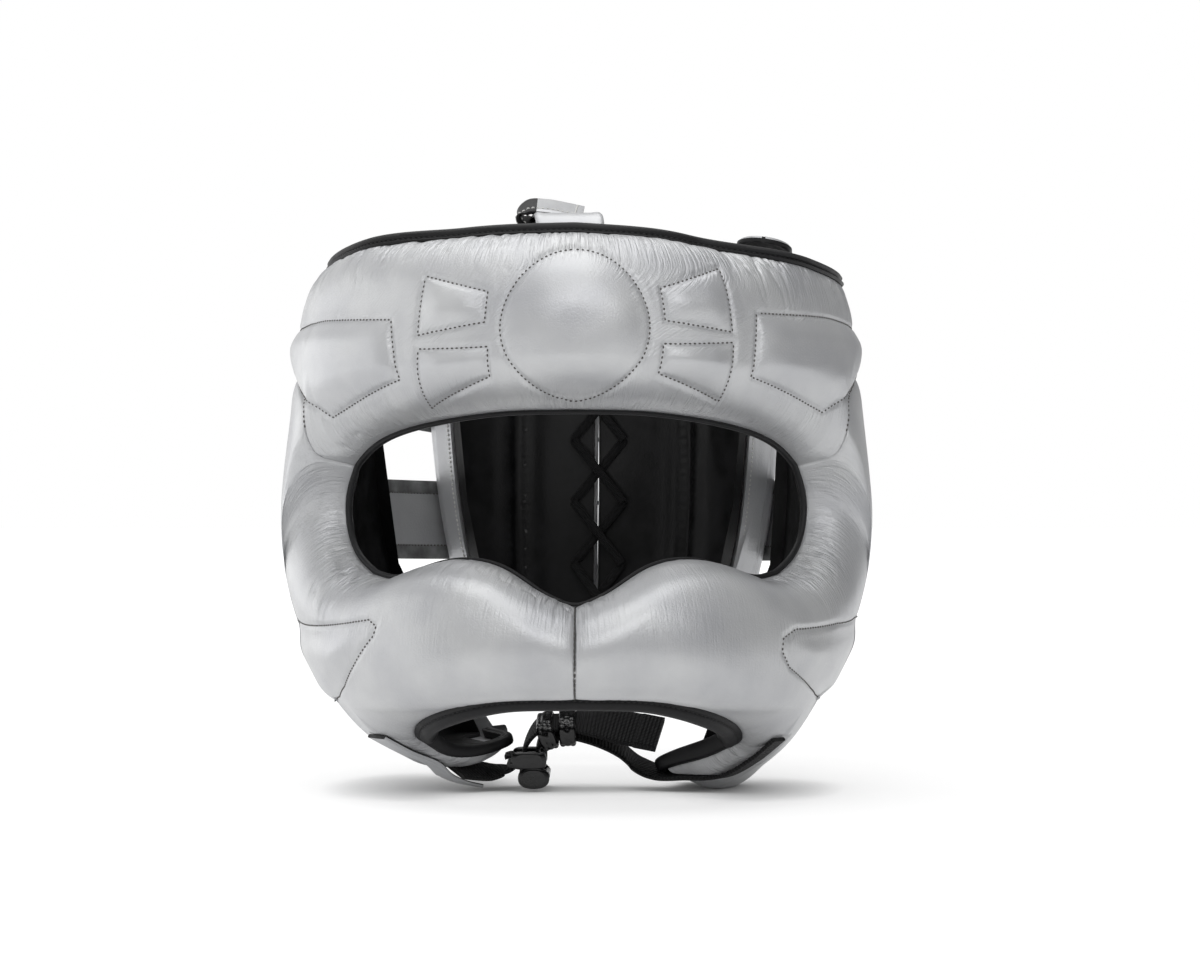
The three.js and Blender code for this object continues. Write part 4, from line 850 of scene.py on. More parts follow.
def ribbonPath(rows, perSpan):
    # centripetal Catmull-Rom through the rows, with the width made square to the line
    rows = np.asarray(rows, float)
    p = rows[:, :3]
    ends = np.vstack([2 * p[:1] - p[1:2], p, 2 * p[-1:] - p[-2:-1]])
    t = np.arange(perSpan * (len(p) - 1) + 1) / perSpan
    i = np.minimum(t.astype(int), len(p) - 2)
    w = (t - i)[:, None]
    p0, p1, p2, p3 = ends[i], ends[i + 1], ends[i + 2], ends[i + 3]
    pairs = ((p0, p1), (p1, p2), (p2, p3))
    d0, d1, d2 = (np.sqrt(np.linalg.norm(b - a, axis=1, keepdims=True)) for a, b in pairs)
    m1 = ((p1 - p0) / d0 - (p2 - p0) / (d0 + d1) + (p2 - p1) / d1) * d1
    m2 = ((p2 - p1) / d1 - (p3 - p1) / (d1 + d2) + (p3 - p2) / d2) * d1
    middle = cubic(w, p1, p2, m1, m2)
    along = (6 * w ** 2 - 6 * w) * p1 + (3 * w ** 2 - 4 * w + 1) * m1
    along = unit(along + (6 * w - 6 * w ** 2) * p2 + (3 * w ** 2 - 2 * w) * m2)
    turn, slope = np.radians((rows[i, 3:] * (1 - w) + rows[i + 1, 3:] * w).T)
    wide = np.stack([np.cos(turn) * np.cos(slope), np.sin(turn) * np.cos(slope), np.sin(slope)], -1)
    wide = unit(wide - along * np.sum(wide * along, 1, keepdims=True))
    return {"middle": middle, "along": along, "wide": wide, "face": np.cross(along, wide)}


def flatProfile(width, thick, count, hem=0.0, hemWidth=4.5, blunt=0.45):
    # strap section: a flat top and bottom, thinner at both edges, a little thicker under a turned hem
    a = np.linspace(-1, 1, count)
    a = np.sign(a) * np.abs(a) ** 0.8 * width / 2
    edge = width / 2 - np.abs(a)
    half = thick / 2 * (blunt + (1 - blunt) * np.sqrt(1 - (1 - np.clip(edge / (0.7 * thick), 0, 1)) ** 2))
    half = half + hem * (ease(hemWidth + 0.8, hemWidth - 0.8, edge)) * ease(0, 0.8, edge)
    return np.concatenate([np.stack([a, half], -1), np.stack([a[::-1], -half[::-1]], -1)])


def buildStrap(name, path, kind, slot, *nodes, taper=1.0, layers=1.0, under=0, dark=False):
    # profile carried along the path; taper narrows the width and layers thickens it; leather is black on the
    # face that under points to, and on both where it is dark
    size, count = straps[kind], len(path["middle"])
    profile = flatProfile(size["width"], size["thick"], size["sides"], *size.get("hem", ()))
    narrow, deep = (np.broadcast_to(share, count)[:, None, None] for share in (taper, layers))
    rings = path["middle"][:, None] + path["wide"][:, None] * profile[None, :, :1] * narrow
    rings = rings + path["face"][:, None] * profile[None, :, 1:] * deep
    rings[..., 2] = np.maximum(rings[..., 2], 0)
    uv = np.stack(np.broadcast_arrays(profile[None, :, 0], runs(path["middle"], 0)[:, None]), -1)
    materials, kinds = [blackWebbing], None
    if under:
        materials = [silverLeather, blackTape]
        upper = np.arange(len(profile)) < size["sides"] - 1
        side = np.where(upper if under < 0 else ~upper, 0, 1)
        kinds = np.maximum(side[None], np.broadcast_to(dark, count)[1:, None]).ravel()
        kinds = np.concatenate([kinds, np.ones(2 * len(profile), int)])
    return dress(ringPiece(name, rings, False, materials, uv=uv, kinds=kinds), slot, *nodes)


def pressIn(points, kind):
    # padding gives way under a sewn strap: points beyond its inner face go back to just under it
    path, outward = beds[kind]
    width, thick = straps[kind]["bed"], straps[kind]["thick"]
    flat = points.reshape(-1, 3)
    near = np.linalg.norm(flat - path["middle"].mean(0), axis=1) < 90
    some = flat[near]
    j = np.argmin(np.linalg.norm(some[:, None] - path["middle"][None], axis=2), 1)
    off = some - path["middle"][j]
    a, b = np.sum(off * path["wide"][j], 1), np.sum(off * path["face"][j], 1) * outward
    c = np.abs(np.sum(off * path["along"][j], 1))
    beside = (b < 9) * ease(3, 1, c) * ease(width / 2 + 3, width / 2 + 0.4, np.abs(a))
    over = np.maximum(b + thick / 2 + 0.35, 0) * beside
    flat[near] = some - path["face"][j] * (outward * over)[:, None]
    flat[:, 2] = np.maximum(flat[:, 2], 0)
    return flat.reshape(points.shape)


def shifted(path, off):
    # the same line moved along its width
    return {**path, "middle": path["middle"] + path["wide"] * off}


webbingRows = np.vstack([sewnRows(1), straps["webbing"]["rows"]])
patchRows = np.vstack([sewnRows(-1), straps["patch"]["rows"]])
beds = {
    "webbing": (ribbonPath(webbingRows[:7], 10), 1),
    "patch": (shifted(ribbonPath(patchRows, 10), straps["patch"]["shift"]), -1),
    "buckle": (ribbonPath(straps["buckle"]["rows"][:5], 10), -1),
}
for side, kind in (("right", "webbing"), ("left", "patch"), ("left", "buckle")):
    guards[side]["outer"] = pressIn(guards[side]["outer"], kind)
for side, faces in guards.items():
    made = closedPad(f"face_guard_leather_{side}", faces, faces["marks"])
    piece = dress(made, "leather_silver", f"face_guard_{side}")
print("shell: straps pressed into the jaw flaps, guards closed")

liningSizes = {"gap": 1.4, "thick": 1.5, "inset": 2.8, "rows": 26, "skip": 4, "waves": 0.5}


def wallRings(near, far):
    # ring of each column: along the far face and back along the near one, with the far face's surface map
    lie = np.stack([runs(far, 0), runs(far, 1)], -1)
    return np.concatenate([far, near[:, ::-1]], 1), np.concatenate([lie, lie[:, ::-1]], 1)


def wallPiece(name, place, low, high, material):
    # thin wall between two offsets from the hollow
    base, normal = onHollow(place)
    rings, uv = wallRings(base + normal * low[..., None], base + normal * high[..., None])
    rings[..., 2] = np.maximum(rings[..., 2], 0)
    return ringPiece(name, rings, False, [material], uv=uv)


def buildLining(name, place, node):
    # cloth skin inside the padding, with slack waves
    slack = liningSizes["waves"] * valueNoise(place[..., 0] / 7, place[..., 1] / 16, 71)
    slack = slack * ease(0, 5, np.minimum(place[..., 1] - place[:, :1, 1], place[:, -1:, 1] - place[..., 1]))
    far = np.full(place.shape[:2], -liningSizes["gap"])
    piece = wallPiece(name, place, far - liningSizes["thick"] - np.maximum(slack, 0), far, blackLining)
    return dress(piece, "lining_black", node)


def insetPlaces(faces, inset, rows, skip):
    # every few columns of a pad, drawn in further from both edges
    grid = faces["place"][::skip]
    bottom, top = grid[:, 0], grid[:, -1]
    run = np.linalg.norm(hollowPoint(*bottom.T) - hollowPoint(*top.T), axis=-1)[:, None]
    v = np.linspace(0, 1, rows)[None]
    want = (inset / run) + (1 - 2 * inset / run) * v
    at = np.interp(want, spread(grid.shape[1]), np.arange(grid.shape[1]))
    i = np.clip(np.floor(at).astype(int), 0, grid.shape[1] - 2)
    part = (at - i)[..., None]
    column = np.arange(len(grid))[:, None]
    return grid[column, i] * (1 - part) + grid[column, i + 1] * part


lined = [("brow_lining_cloth", brow, "forehead_lining")]
lined += [(f"face_lining_cloth_{side}", faces, f"face_lining_{side}") for side, faces in guards.items()]
for name, faces, node in lined:
    buildLining(name, insetPlaces(faces, liningSizes["inset"], liningSizes["rows"], liningSizes["skip"]), node)
print("lining: brow and guards are lined")

# binding tapes: how far each stands out of its edge, the gap behind it and how far it laps over the leather
bindings = {
    "cover": 3.2,
    "top": {"gap": 0.4, "reach": 5.8, "lap": 0.9}, "chin": {"gap": 0.5, "reach": 7.4, "flap": 4.6, "lap": 0.5},
    "ear": {"gap": 0.4, "reach": 4.4, "lap": 0.6}, "eye": {"gap": -0.2, "reach": 1.7, "lap": 0.2, "cover": 2.0},
}
# section of a folded tape, from the lining side round to the leather side: shares of its width and its reach
tapeSection = np.array([
    (0, -0.1), (0.5, -0.1), (1.0, -0.1), (1.03, 0.06), (1.0, 0.2), (0.97, 0.27), (1.0, 0.34), (1.02, 0.5),
    (1.0, 0.7), (0.93, 0.87), (0.8, 0.96), (0.5, 1.0), (0.2, 0.96), (0.07, 0.87), (0.0, 0.7), (-0.02, 0.5),
    (0, 0.34), (0.03, 0.27), (0, 0.2), (-0.03, 0.06)])


def edgeOf(faces, *pick):
    # one edge of a pad's grid, or a part of it
    return {key: faces[key][pick] for key in ("inner", "outer", "normal")}


def joinEdges(*edges):
    # edges one after another
    return {key: np.concatenate([edge[key] for edge in edges]) for key in edges[0]}


def bindingRings(edge, side, closed, size, smooth, reach=None, width=lambda w: w):
    # tape section at each station: across from lining to leather, out of the edge along the path's cross normal
    gap, cover = size["gap"], size.get("cover", bindings["cover"])
    reach = np.array(size["reach"]) if reach is None else reach
    inner = smoothPath(edge["inner"], smooth, closed)
    outer = smoothPath(edge["outer"], smooth, closed)
    normal = unit(smoothPath(edge["normal"], smooth, closed))
    if closed:
        along = np.roll(inner, -1, 0) - np.roll(inner, 1, 0)
    else:
        along = np.gradient(inner, axis=0)
    out = unit(smoothPath(unit(np.cross(along, normal)) * side, smooth, closed))
    across = unit(outer - inner)
    full = (width(np.linalg.norm(outer - inner, axis=1)) + size["lap"])[:, None]
    a = -cover + tapeSection[None, :, 0] * (full + cover)
    b = gap + (reach - gap).reshape(-1, 1) * tapeSection[None, :, 1]
    way = np.where((a < 0)[..., None], normal[:, None], across[:, None])
    rings = inner[:, None] + way * a[..., None] + out[:, None] * b[..., None]
    rings[..., 2] = np.maximum(rings[..., 2], 0)
    return rings


def tapePiece(name, rings, closed, node):
    # rings of one tape, with a surface map along and round it
    lie = np.stack([runs(rings, 0), runs(rings, 1)], -1)
    piece = ringPiece(name, rings, closed, [blackTape], uv=lie, sharp=40)
    return dress(piece, "leather_black", node)


tapes = {"top": bindingRings(edgeOf(brow, slice(None), -1), -1, False, bindings["top"], 3)}
tapePiece("top_edge_tape", tapes["top"], False, "top_binding")

chin = bindings["chin"]
chinEdge = joinEdges(edgeOf(guards["left"], slice(None, None, -1), 0), edgeOf(guards["right"], slice(None), 0))
chinSpot = np.concatenate([guards["left"]["spot"][::-1], guards["right"]["spot"]])
chinReach = chin["reach"] + (chin["flap"] - chin["reach"]) * ease(12.5, 13.5, chinSpot)
tapes["chin"] = bindingRings(chinEdge, 1, False, chin, 4, chinReach)
for kind in beds:
    tapes["chin"] = pressIn(tapes["chin"], kind)
tapePiece("chin_edge_tape", tapes["chin"], False, "chin_binding")

# round the eye opening: the brow's part, the right guard's from its corner to the nose, then the left one's
onBrow = np.flatnonzero(np.abs(brow["spot"]) <= browSizes["eyeSpans"])
corner = guardSizes["chinSpans"] + guardSizes["endSpans"]
lower = np.flatnonzero((guards["right"]["spot"] < corner - 0.2) & (guards["right"]["spot"] > 0.2))
eyeEdge = joinEdges(edgeOf(brow, onBrow, 0), edgeOf(guards["right"], lower[::-1], -1),
                    edgeOf(guards["left"], lower, -1))
tapes["eye"] = bindingRings(eyeEdge, 1, True, bindings["eye"], 3, width=lambda w: 0 * w)
tapePiece("eye_edge_tape", tapes["eye"], True, "eye_binding")

for side, sign, end in (("left", -1, 0), ("right", 1, -1)):
    earEdge = joinEdges(edgeOf(guards[side], -1, slice(6, None)), edgeOf(brow, end, slice(2, -8)))
    tapes[side] = bindingRings(earEdge, sign, False, bindings["ear"], 4)
    tapePiece(f"ear_edge_tape_{side}", tapes[side], False, f"ear_binding_{side}")
print("bindings: top, eye, chin and ear edges are taped")

# two padded back panels, laced; near and far angles by height, the soft back sits turned to the right
backSizes = {
    "heights": [42, 87, 143, 190], "thick": 17, "flange": (5, 14, 14), "roll": (8, 0.55),
    "right": {"near": [139, 133.4, 127.4, 123], "far": [175.4, 175.45, 175.25, 175.3], "channels": (151,)},
    "left": {"near": [-157, -151.5, -147, -144], "far": [-184.4, -184.2, -184.4, -184.6], "channels": (-165,)},
    "columns": 90, "rows": 110, "channel": (1.6, 2.4), "radius": 110, "seam": (1.1, 9, 1.6),
    "lining": {"columns": 70, "rows": 90, "inset": 1, "gap": 1.4, "thick": 1.5, "slack": 0.8, "least": 2.3,
               "gather": 0.55, "pitch": 4.2, "gathered": (3.2, 2.4), "puffed": (7, 5)},
}
# lace: angle of each side's eyelets, height of the lowest row, offsets of its runs inside and outside
laceSizes = {"right": 168.6, "left": -178.8, "low": 60, "step": 28, "rows": 5, "half": (1.9, 0.9), "sides": 12,
             "inside": -5.4, "outside": 7.7, "apart": (-0.6, 0.7)}


def backPlaces(look, columns, rows, inset):
    # even grid between a panel's near and far edge, drawn in by the inset
    height = np.linspace(backSizes["heights"][0] + inset, backSizes["heights"][-1] - inset, rows)
    near, far = smoothRead(backSizes["heights"], np.array([look["near"], look["far"]], float).T, height).T
    margin = inset / backSizes["radius"] * 180 / math.pi * np.sign(far - near)
    angle = (near + margin)[None] + ((far - near) - 2 * margin)[None] * np.linspace(0, 1, columns)[:, None]
    return np.stack([angle, np.broadcast_to(height, angle.shape)], -1)


def buildBack(side, look):
    # pad: thin flange at the lacing, then full, rolled at the other edges, with a sunk seam and shallow dents
    place = backPlaces(look, backSizes["columns"], backSizes["rows"], 0)
    inner, normal = onHollow(place)
    along, across = runs(inner, 1), runs(inner, 0)
    thin, wide, slope = backSizes["flange"]
    full = thin + (backSizes["thick"] - thin) * ease(wide, wide + slope, across[-1:] - across)
    full = full * rollAt(along, *backSizes["roll"]) * rollAt(along[:, -1:] - along, *backSizes["roll"])
    full = full * rollAt(across, *backSizes["roll"])
    seed = 81 if side == "right" else 91
    deep, *seam = backSizes["seam"]
    full = full - deep * bell(across, *seam) * ease(0, 12, along) * ease(0, 12, along[:, -1:] - along)
    full = full + 0.5 * valueNoise(across / 18, along / 20, seed) * ease(0, 10, across)
    faces = {"place": place, "inner": inner, "outer": inner + normal * full[..., None], "normal": normal}
    marks = 0.5 * bell(across, 0, 10) + 0.12
    piece = dress(closedPad(f"back_panel_leather_{side}", faces, marks), "leather_silver", f"back_panel_{side}")
    # lining: slack cloth over the foam, sunk along the sewn channels and gathered beside them
    cloth = backSizes["lining"]
    place = backPlaces(look, cloth["columns"], cloth["rows"], cloth["inset"])
    waves = ease(0, 1, 0.5 + 0.5 * valueNoise(place[..., 0] / 9, place[..., 1] / 30, seed + 3))
    base = -cloth["gap"] - cloth["thick"] - cloth["slack"] * waves
    depth, width = backSizes["channel"]
    for channel in look["channels"]:
        far = np.abs(place[..., 0] - channel) * perDegree
        gather = np.sin(place[..., 1] * 2 * math.pi / cloth["pitch"]) * bell(far, *cloth["gathered"])
        base = base + depth * bell(far, 0, width) - cloth["gather"] * gather - bell(far, *cloth["puffed"])
    lining = wallPiece(f"back_lining_cloth_{side}", place, np.minimum(base, -cloth["least"]),
                       np.full(base.shape, -cloth["gap"]), blackLining)
    dress(lining, "lining_black", f"back_lining_{side}")
    return faces


backs = {side: buildBack(side, backSizes[side]) for side in ("left", "right")}


def cordRings(stops, half, sides, perRun=14):
    # flat lace: an ellipse carried along straight runs with rounded turns
    stops = np.asarray(stops, float)
    t = np.linspace(0, len(stops) - 1, perRun * (len(stops) - 1) + 1)
    path = np.stack([np.interp(t, np.arange(len(stops)), stops[:, c]) for c in range(3)], -1)
    path = smoothPath(path, 2, False) if len(stops) > 2 else path
    along = unit(np.gradient(path, axis=0))
    flat = np.cross(along, (0, 0, 1.0)) if len(stops) > 2 else np.cross(along, unit(path.mean(0) * (1, 1, 0)))
    side = unit(flat)
    up = np.cross(side, along)
    turn = np.arange(sides) * 2 * math.pi / sides
    return path[:, None] + side[:, None] * (half[0] * np.cos(turn))[None, :, None] \
        + up[:, None] * (half[1] * np.sin(turn))[None, :, None]


def buildLace(sizes):
    # round level bars over the outside and flat crossings inside, one piece
    def line(half, *stops):
        # stops: side, row and offset from the hollow
        place = [(sizes[side], sizes["low"] + sizes["step"] * row) for side, row, _ in stops]
        point, normal = onHollow(np.array(place, float))
        return cordRings(point + normal * np.array([[off] for *_, off in stops]), half, sizes["sides"])
    inside, outside = sizes["inside"], sizes["outside"]
    flat, thin = sizes["half"]
    parts = []
    for k in range(sizes["rows"]):
        parts.append(line((thin, thin), ("right", k, inside), ("right", k, outside), ("left", k, outside),
                          ("left", k, inside)))
        if k < sizes["rows"] - 1:
            for near, far, apart in zip(("right", "left"), ("left", "right"), sizes["apart"]):
                parts.append(line((flat, thin), (near, k, inside + apart), (far, k + 1, inside + apart)))
    lies = [2.4 * np.stack([runs(rings, 1), runs(rings, 0)], -1).reshape(-1, 2) for rings in parts]
    points, faces = joinRings(parts)
    uv = np.vstack([np.vstack([lie, lie[:1], lie[-1:]]) for lie in lies])
    piece = makePiece("back_lace_cord", points, faces, [blackWebbing], uv=uv)
    return dress(piece, "webbing_black", "back_lace")


buildLace(laceSizes)
print("back: panels, lining and lace")

# leather straps from the ear edge to the back panels: angle, lower and upper edge, rise of the free part
sideStraps = {
    "side_strap_right": [(99, 95, 127, 15), (108, 95, 127, 16.5), (128, 94, 126, 17.8), (150, 93, 125, 17.6)],
    "side_strap_left": [(-99, 95, 127, 15), (-108, 95, 127, 16.5), (-146, 94, 126, 17.8),
                        (-166, 93, 125, 17.6)],
    "upper_strap_right": [(96, 160, 197, 15.5), (108, 158, 196, 17), (124, 150, 188, 17.8),
                          (148, 142, 178, 17.6)],
    "upper_strap_left": [(-97, 160, 197, 15), (-108, 158, 196, 16.5), (-146, 148, 184, 17.8),
                         (-166, 142, 178, 17.6)],
}
strapSizes = {"thick": 2.4, "hem": 5.2, "columns": 90, "lift": 0.9, "sunk": 0.62, "sewn": (102, 108),
              "proud": 0.45, "line": 0.4, "waves": 0.25, "soft": 0.6}
strapRows = {}


def buildSideStrap(name, table):
    # section: flat leather, both long edges turned under and sewn, so each edge is a little proud of the middle
    table = np.array(table, float)
    angle = np.linspace(table[0, 0], table[-1, 0], strapSizes["columns"])
    low, high = smoothRead(table[:, 0], table[:, 1:3], angle).T
    v = flatProfile(2, 0.1, 26)[:26, 0] * 0.5 + 0.5
    height = low[:, None] + (high - low)[:, None] * v[None]
    turn = np.broadcast_to(angle[:, None], height.shape)
    free = smoothRead(table[1:, 0], table[1:, 3:], angle)[:, 0]
    base = strapSizes["sunk"] * foamAt(turn, height) + strapSizes["lift"]
    base = base + (free[:, None] - base) * ease(*strapSizes["sewn"], np.abs(turn))
    edge = np.minimum(v, 1 - v)[None] * (high - low)[:, None]
    hem = strapSizes["hem"]
    bulge = strapSizes["proud"] * ease(hem + 1.4, hem - 1.2, edge) - strapSizes["line"] * bell(edge, hem, 0.7)
    bulge = bulge + strapSizes["waves"] * valueNoise(turn / 6, height / 9, 101)
    soft = strapSizes["soft"] * ease(1.6, 0, edge)
    point, normal = onHollow(np.stack([turn, height], -1))
    near = point + normal * (base + soft)[..., None]
    far = point + normal * (base + strapSizes["thick"] + bulge - soft)[..., None]
    rings, uv = wallRings(near, far)
    marks = np.concatenate([bell(edge, hem, 4), 0 * edge], 1).ravel()
    # the hems' raw edges show on the inner face
    hemmed = np.minimum(edge[:, 1:], edge[:, :-1])[1:, ::-1] < hem - 0.8
    rim = np.ones((len(hemmed), 1), int)
    kinds = np.concatenate([np.zeros(hemmed.shape, int), rim, hemmed, rim], 1)
    kinds = np.concatenate([kinds.ravel(), np.ones(2 * rings.shape[1], int)])
    piece = ringPiece(f"{name}_leather", rings, False, [silverLeather, greySuede], uv, kinds=kinds,
                      marks={"creased": np.concatenate([marks, [0, 0]])})
    dress(piece, "leather_silver", name)
    pick = [np.argmin(np.abs(edge[0] - hem) + np.where((v < 0.5) == below, 0, 99)) for below in (True, False)]
    strapRows[name] = [(far[:, k], normal[:, k]) for k in pick]
    strapRows[name] += [(near[:, k], -normal[:, k]) for k in pick]
    strapRows[name] += [(far[k, 2:-2], normal[k, 2:-2]) for k in (-4, -8)]


for name, table in sideStraps.items():
    buildSideStrap(name, table)

crown = ribbonPath(straps["crown"]["rows"], 16)
buildStrap("crown_strap_leather", crown, "crown", "leather_silver", "crown_strap", under=1)
# its front end is turned back on itself: a flat loop, black inside
crownLoop = ribbonPath(straps["loop"]["rows"], 14)
bend = crownLoop["middle"][:, 0] < straps["loop"]["bend"]
buildStrap("crown_strap_loop", crownLoop, "loop", "leather_silver", under=-1, dark=bend)
# round tip
hook = ribbonPath(straps["hook"]["rows"], 24)
hookRun = runs(hook["middle"], 0)
tip = np.sqrt(1 - np.clip(1 - (hookRun[-1] - hookRun) / straps["hook"]["tip"], 0, 0.998) ** 2)
buildStrap("hook_strap_leather", hook, "hook", "leather_silver", "hook_strap", taper=tip, under=-1)

# folded in half where it is sewn to the jaw, its free end turned over and sewn
webbing = ribbonPath(webbingRows, 20)
folded = 0.45 + 0.55 * ease(*straps["webbing"]["folded"], np.arange(len(webbing["middle"])))
doubled = 1 + 0.9 * ease(*straps["webbing"]["turned"], runs(webbing["middle"][::-1], 0)[::-1])
buildStrap("chin_strap_webbing", webbing, "webbing", "webbing_black", "chin_webbing", taper=folded,
           layers=doubled)
patch = shifted(ribbonPath(patchRows, 18), straps["patch"]["shift"])
buildStrap("strap_patch_leather", patch, "patch", "leather_silver", "strap_patch", under=1)
holder = ribbonPath(straps["buckle"]["rows"], 14)
buildStrap("buckle_strap_webbing", holder, "buckle", "webbing_black", "buckle_strap")
print("straps: side, crown, hook and chin straps")

# moulded slide buckle: three cross bars and two side rails; keepers are braided loops round the webbing
buckleSizes = {"middle": -22, "depth": 26, "bar": 1.4, "rail": 1.6, "cheekDepth": 4.2,
               "bars": [(-26.7, 11.3), (-18.4, 10.9), (-12, 6.5)],
               "cheeks": [(-19.2, 12.6, 7.2, 3.6, 4), (-17.2, 5.6, 6.4, 4.4, 2.4)]}
keeperSizes = {"width": 22.6, "height": 8.4, "wall": 1.2, "length": 6.6, "slope": 15, "braid": 0.5,
               "plait": (3, 3.4),
               "loops": [("strap_keeper_left", -11.6, 23.8, 20), ("strap_keeper_right", -3.6, 25.4, 4)]}


def roundBar(stops, radius, sides=16, perRun=8):
    # round rod through its stops
    return cordRings(stops, (radius, radius), sides, perRun)


def squared(turn, power):
    # cosine and sine drawn out towards a square: their size to a power, with their sign
    return [np.sign(wave) * np.abs(wave) ** power for wave in (np.cos(turn), np.sin(turn))]


def buildBuckle(sizes):
    # cross bars and two rails
    ends = (sizes["middle"] - sizes["depth"] / 2, sizes["middle"] + sizes["depth"] / 2)
    parts = [roundBar([(x, ends[0], z), (x, ends[1], z)], sizes["bar"]) for x, z in sizes["bars"]]
    parts += [roundBar([(x, y, z) for x, z in sizes["bars"]], sizes["rail"]) for y in ends]
    # moulded cheeks at both ends of the bars: rounded blocks, drawn in at their own ends
    turn = np.arange(40) * 2 * math.pi / 40
    deep = np.array([-0.5, -0.46, -0.3, 0, 0.3, 0.46, 0.5])
    draw = np.sqrt(1 - 0.5 * np.abs(2 * deep) ** 6)
    for y in ends:
        for x, z, half, tall, square in sizes["cheeks"]:
            a, b = squared(turn, 2 / square)
            parts.append(np.stack(np.broadcast_arrays(
                x + draw[:, None] * (a * half), y + (deep * sizes["cheekDepth"])[:, None],
                z + draw[:, None] * (b * tall)), -1))
    return dress(makePiece("slide_buckle", *joinRings(parts), [blackNylon]), "plastic_black", "buckle")


def buildKeeper(name, x, z, lean):
    # loop: a rounded rectangle round the webbing; the band's outer face is bumped like a flat plait
    slope, lean = math.radians(keeperSizes["slope"]), math.radians(lean)
    wide = np.array([0, math.cos(slope), math.sin(slope)])
    along = np.array([math.cos(lean), 0, math.sin(lean)])
    along = unit(along - wide * (along @ wide))
    face = np.cross(along, wide)
    t = np.linspace(0, 2 * math.pi, 120, endpoint=False)
    across, tall = keeperSizes["width"], keeperSizes["height"]
    a, b = squared(t, 0.45)[0] * across / 2, squared(t, 0.6)[1] * tall / 2
    ring = wide * a[:, None] + face * b[:, None]
    out = unit(wide * (a / across ** 2)[:, None] + face * (b / tall ** 2)[:, None])
    w = np.linspace(-1, 1, 17)
    length = runs(ring, 0)
    strands, pitch = keeperSizes["plait"]
    strand = (w[None] + 1) * strands / 2
    plait = np.abs(np.sin(math.pi * (length[:, None] / pitch + 0.5 * np.floor(strand) % 1)))
    lobe = np.abs(np.sin(math.pi * strand)) ** 0.5
    high = keeperSizes["wall"] * (0.55 + 0.45 * np.sqrt(1 - np.abs(w[None]) ** 4))
    high = high + keeperSizes["braid"] * plait * lobe
    shift = along * (w * keeperSizes["length"] / 2)[None, :, None]
    outer = ring[:, None] + shift + out[:, None] * high[..., None]
    inner = ring[:, None] + shift[:, ::-1]
    rings = np.concatenate([outer, inner], 1) + np.array([x, buckleSizes["middle"], z])
    return dress(ringPiece(f"{name}_loop", rings, True, [blackNylon]), "plastic_black", name)


buildBuckle(buckleSizes)
for loop in keeperSizes["loops"]:
    buildKeeper(*loop)
print("chin strap: buckle and keepers")

# stitches: one bead of thread each, its ends dipping into the leather
stitchSizes = {"pitch": 2.0, "length": 1.35, "radius": 0.36, "dip": 0.3}


def evenPath(points, normals, pitch):
    # places every pitch along a path, with the direction there
    length = runs(points, 0)
    at = (np.arange(int(length[-1] / pitch)) + 0.5) * pitch
    read = lambda v, s: np.stack([np.interp(s, length, v[:, c]) for c in range(3)], -1)
    along = unit(read(points, at + 0.4) - read(points, at - 0.4))
    return read(points, at), along, unit(read(normals, at))


def buildStitches(name, paths, material, sizes=stitchSizes, lift=0.1):
    # bead: radius times the root of 1 - 0.8 t^4, bent down by dip times t^2, copied to every pitch of the paths
    t = np.linspace(-1, 1, 5)
    turn = np.arange(6) * math.pi / 3
    fat = sizes["radius"] * np.sqrt(np.clip(1 - 0.8 * t ** 4, 0, 1))
    bead = np.stack(np.broadcast_arrays(
        (t * sizes["length"] / 2)[:, None], fat[:, None] * np.cos(turn),
        fat[:, None] * np.sin(turn) - (sizes["dip"] * t ** 2)[:, None]), -1)
    bead, ends = joinRings([bead])
    place, along, up = (np.vstack(v) for v in zip(*[evenPath(p, n, sizes["pitch"]) for p, n in paths]))
    side = unit(np.cross(up, along))
    up = np.cross(along, side)
    points = (place + up * lift)[:, None] + bead[None] @ np.stack([along, side, up], 1)
    shift = (np.arange(len(place)) * len(bead))[:, None, None]
    faces = [(f[None] + shift).reshape(-1, f.shape[1]) for f in ends]
    return dress(makePiece(name, points.reshape(-1, 3), faces, [material], sharp=180), "leather_black")


def onSurface(faces, places):
    # points and normals of the outer face at given angles and heights: nearest grid point, then its two slopes
    grid = faces["place"] * (perDegree, 1)
    want = np.asarray(places, float) * (perDegree, 1)
    flat = grid.reshape(-1, 2)
    near = np.concatenate([np.argmin(((want[k:k + 40, None] - flat[None]) ** 2).sum(-1), 1)
                           for k in range(0, len(want), 40)])
    i, j = np.unravel_index(near, grid.shape[:2])
    da, db = np.gradient(grid, axis=0)[i, j], np.gradient(grid, axis=1)[i, j]
    off = want - grid[i, j]
    det = da[:, 0] * db[:, 1] - da[:, 1] * db[:, 0]
    s = np.clip((off[:, 0] * db[:, 1] - off[:, 1] * db[:, 0]) / det, -1, 1)[:, None]
    t = np.clip((da[:, 0] * off[:, 1] - da[:, 1] * off[:, 0]) / det, -1, 1)[:, None]
    outer = faces["outer"]
    point = outer[i, j] + s * np.gradient(outer, axis=0)[i, j] + t * np.gradient(outer, axis=1)[i, j]
    return point, faces["outward"][i, j]


def outlinePath(corners, closed=True, step=0.6):
    # even steps along the straight sides of an outline
    ends = np.array(list(corners) + ([corners[0]] if closed else []), float)
    at = runs(ends * (perDegree, 1), 0)
    s = np.linspace(0, at[-1], int(at[-1] / step))
    return np.stack([np.interp(s, at, ends[:, c]) for c in range(2)], -1)


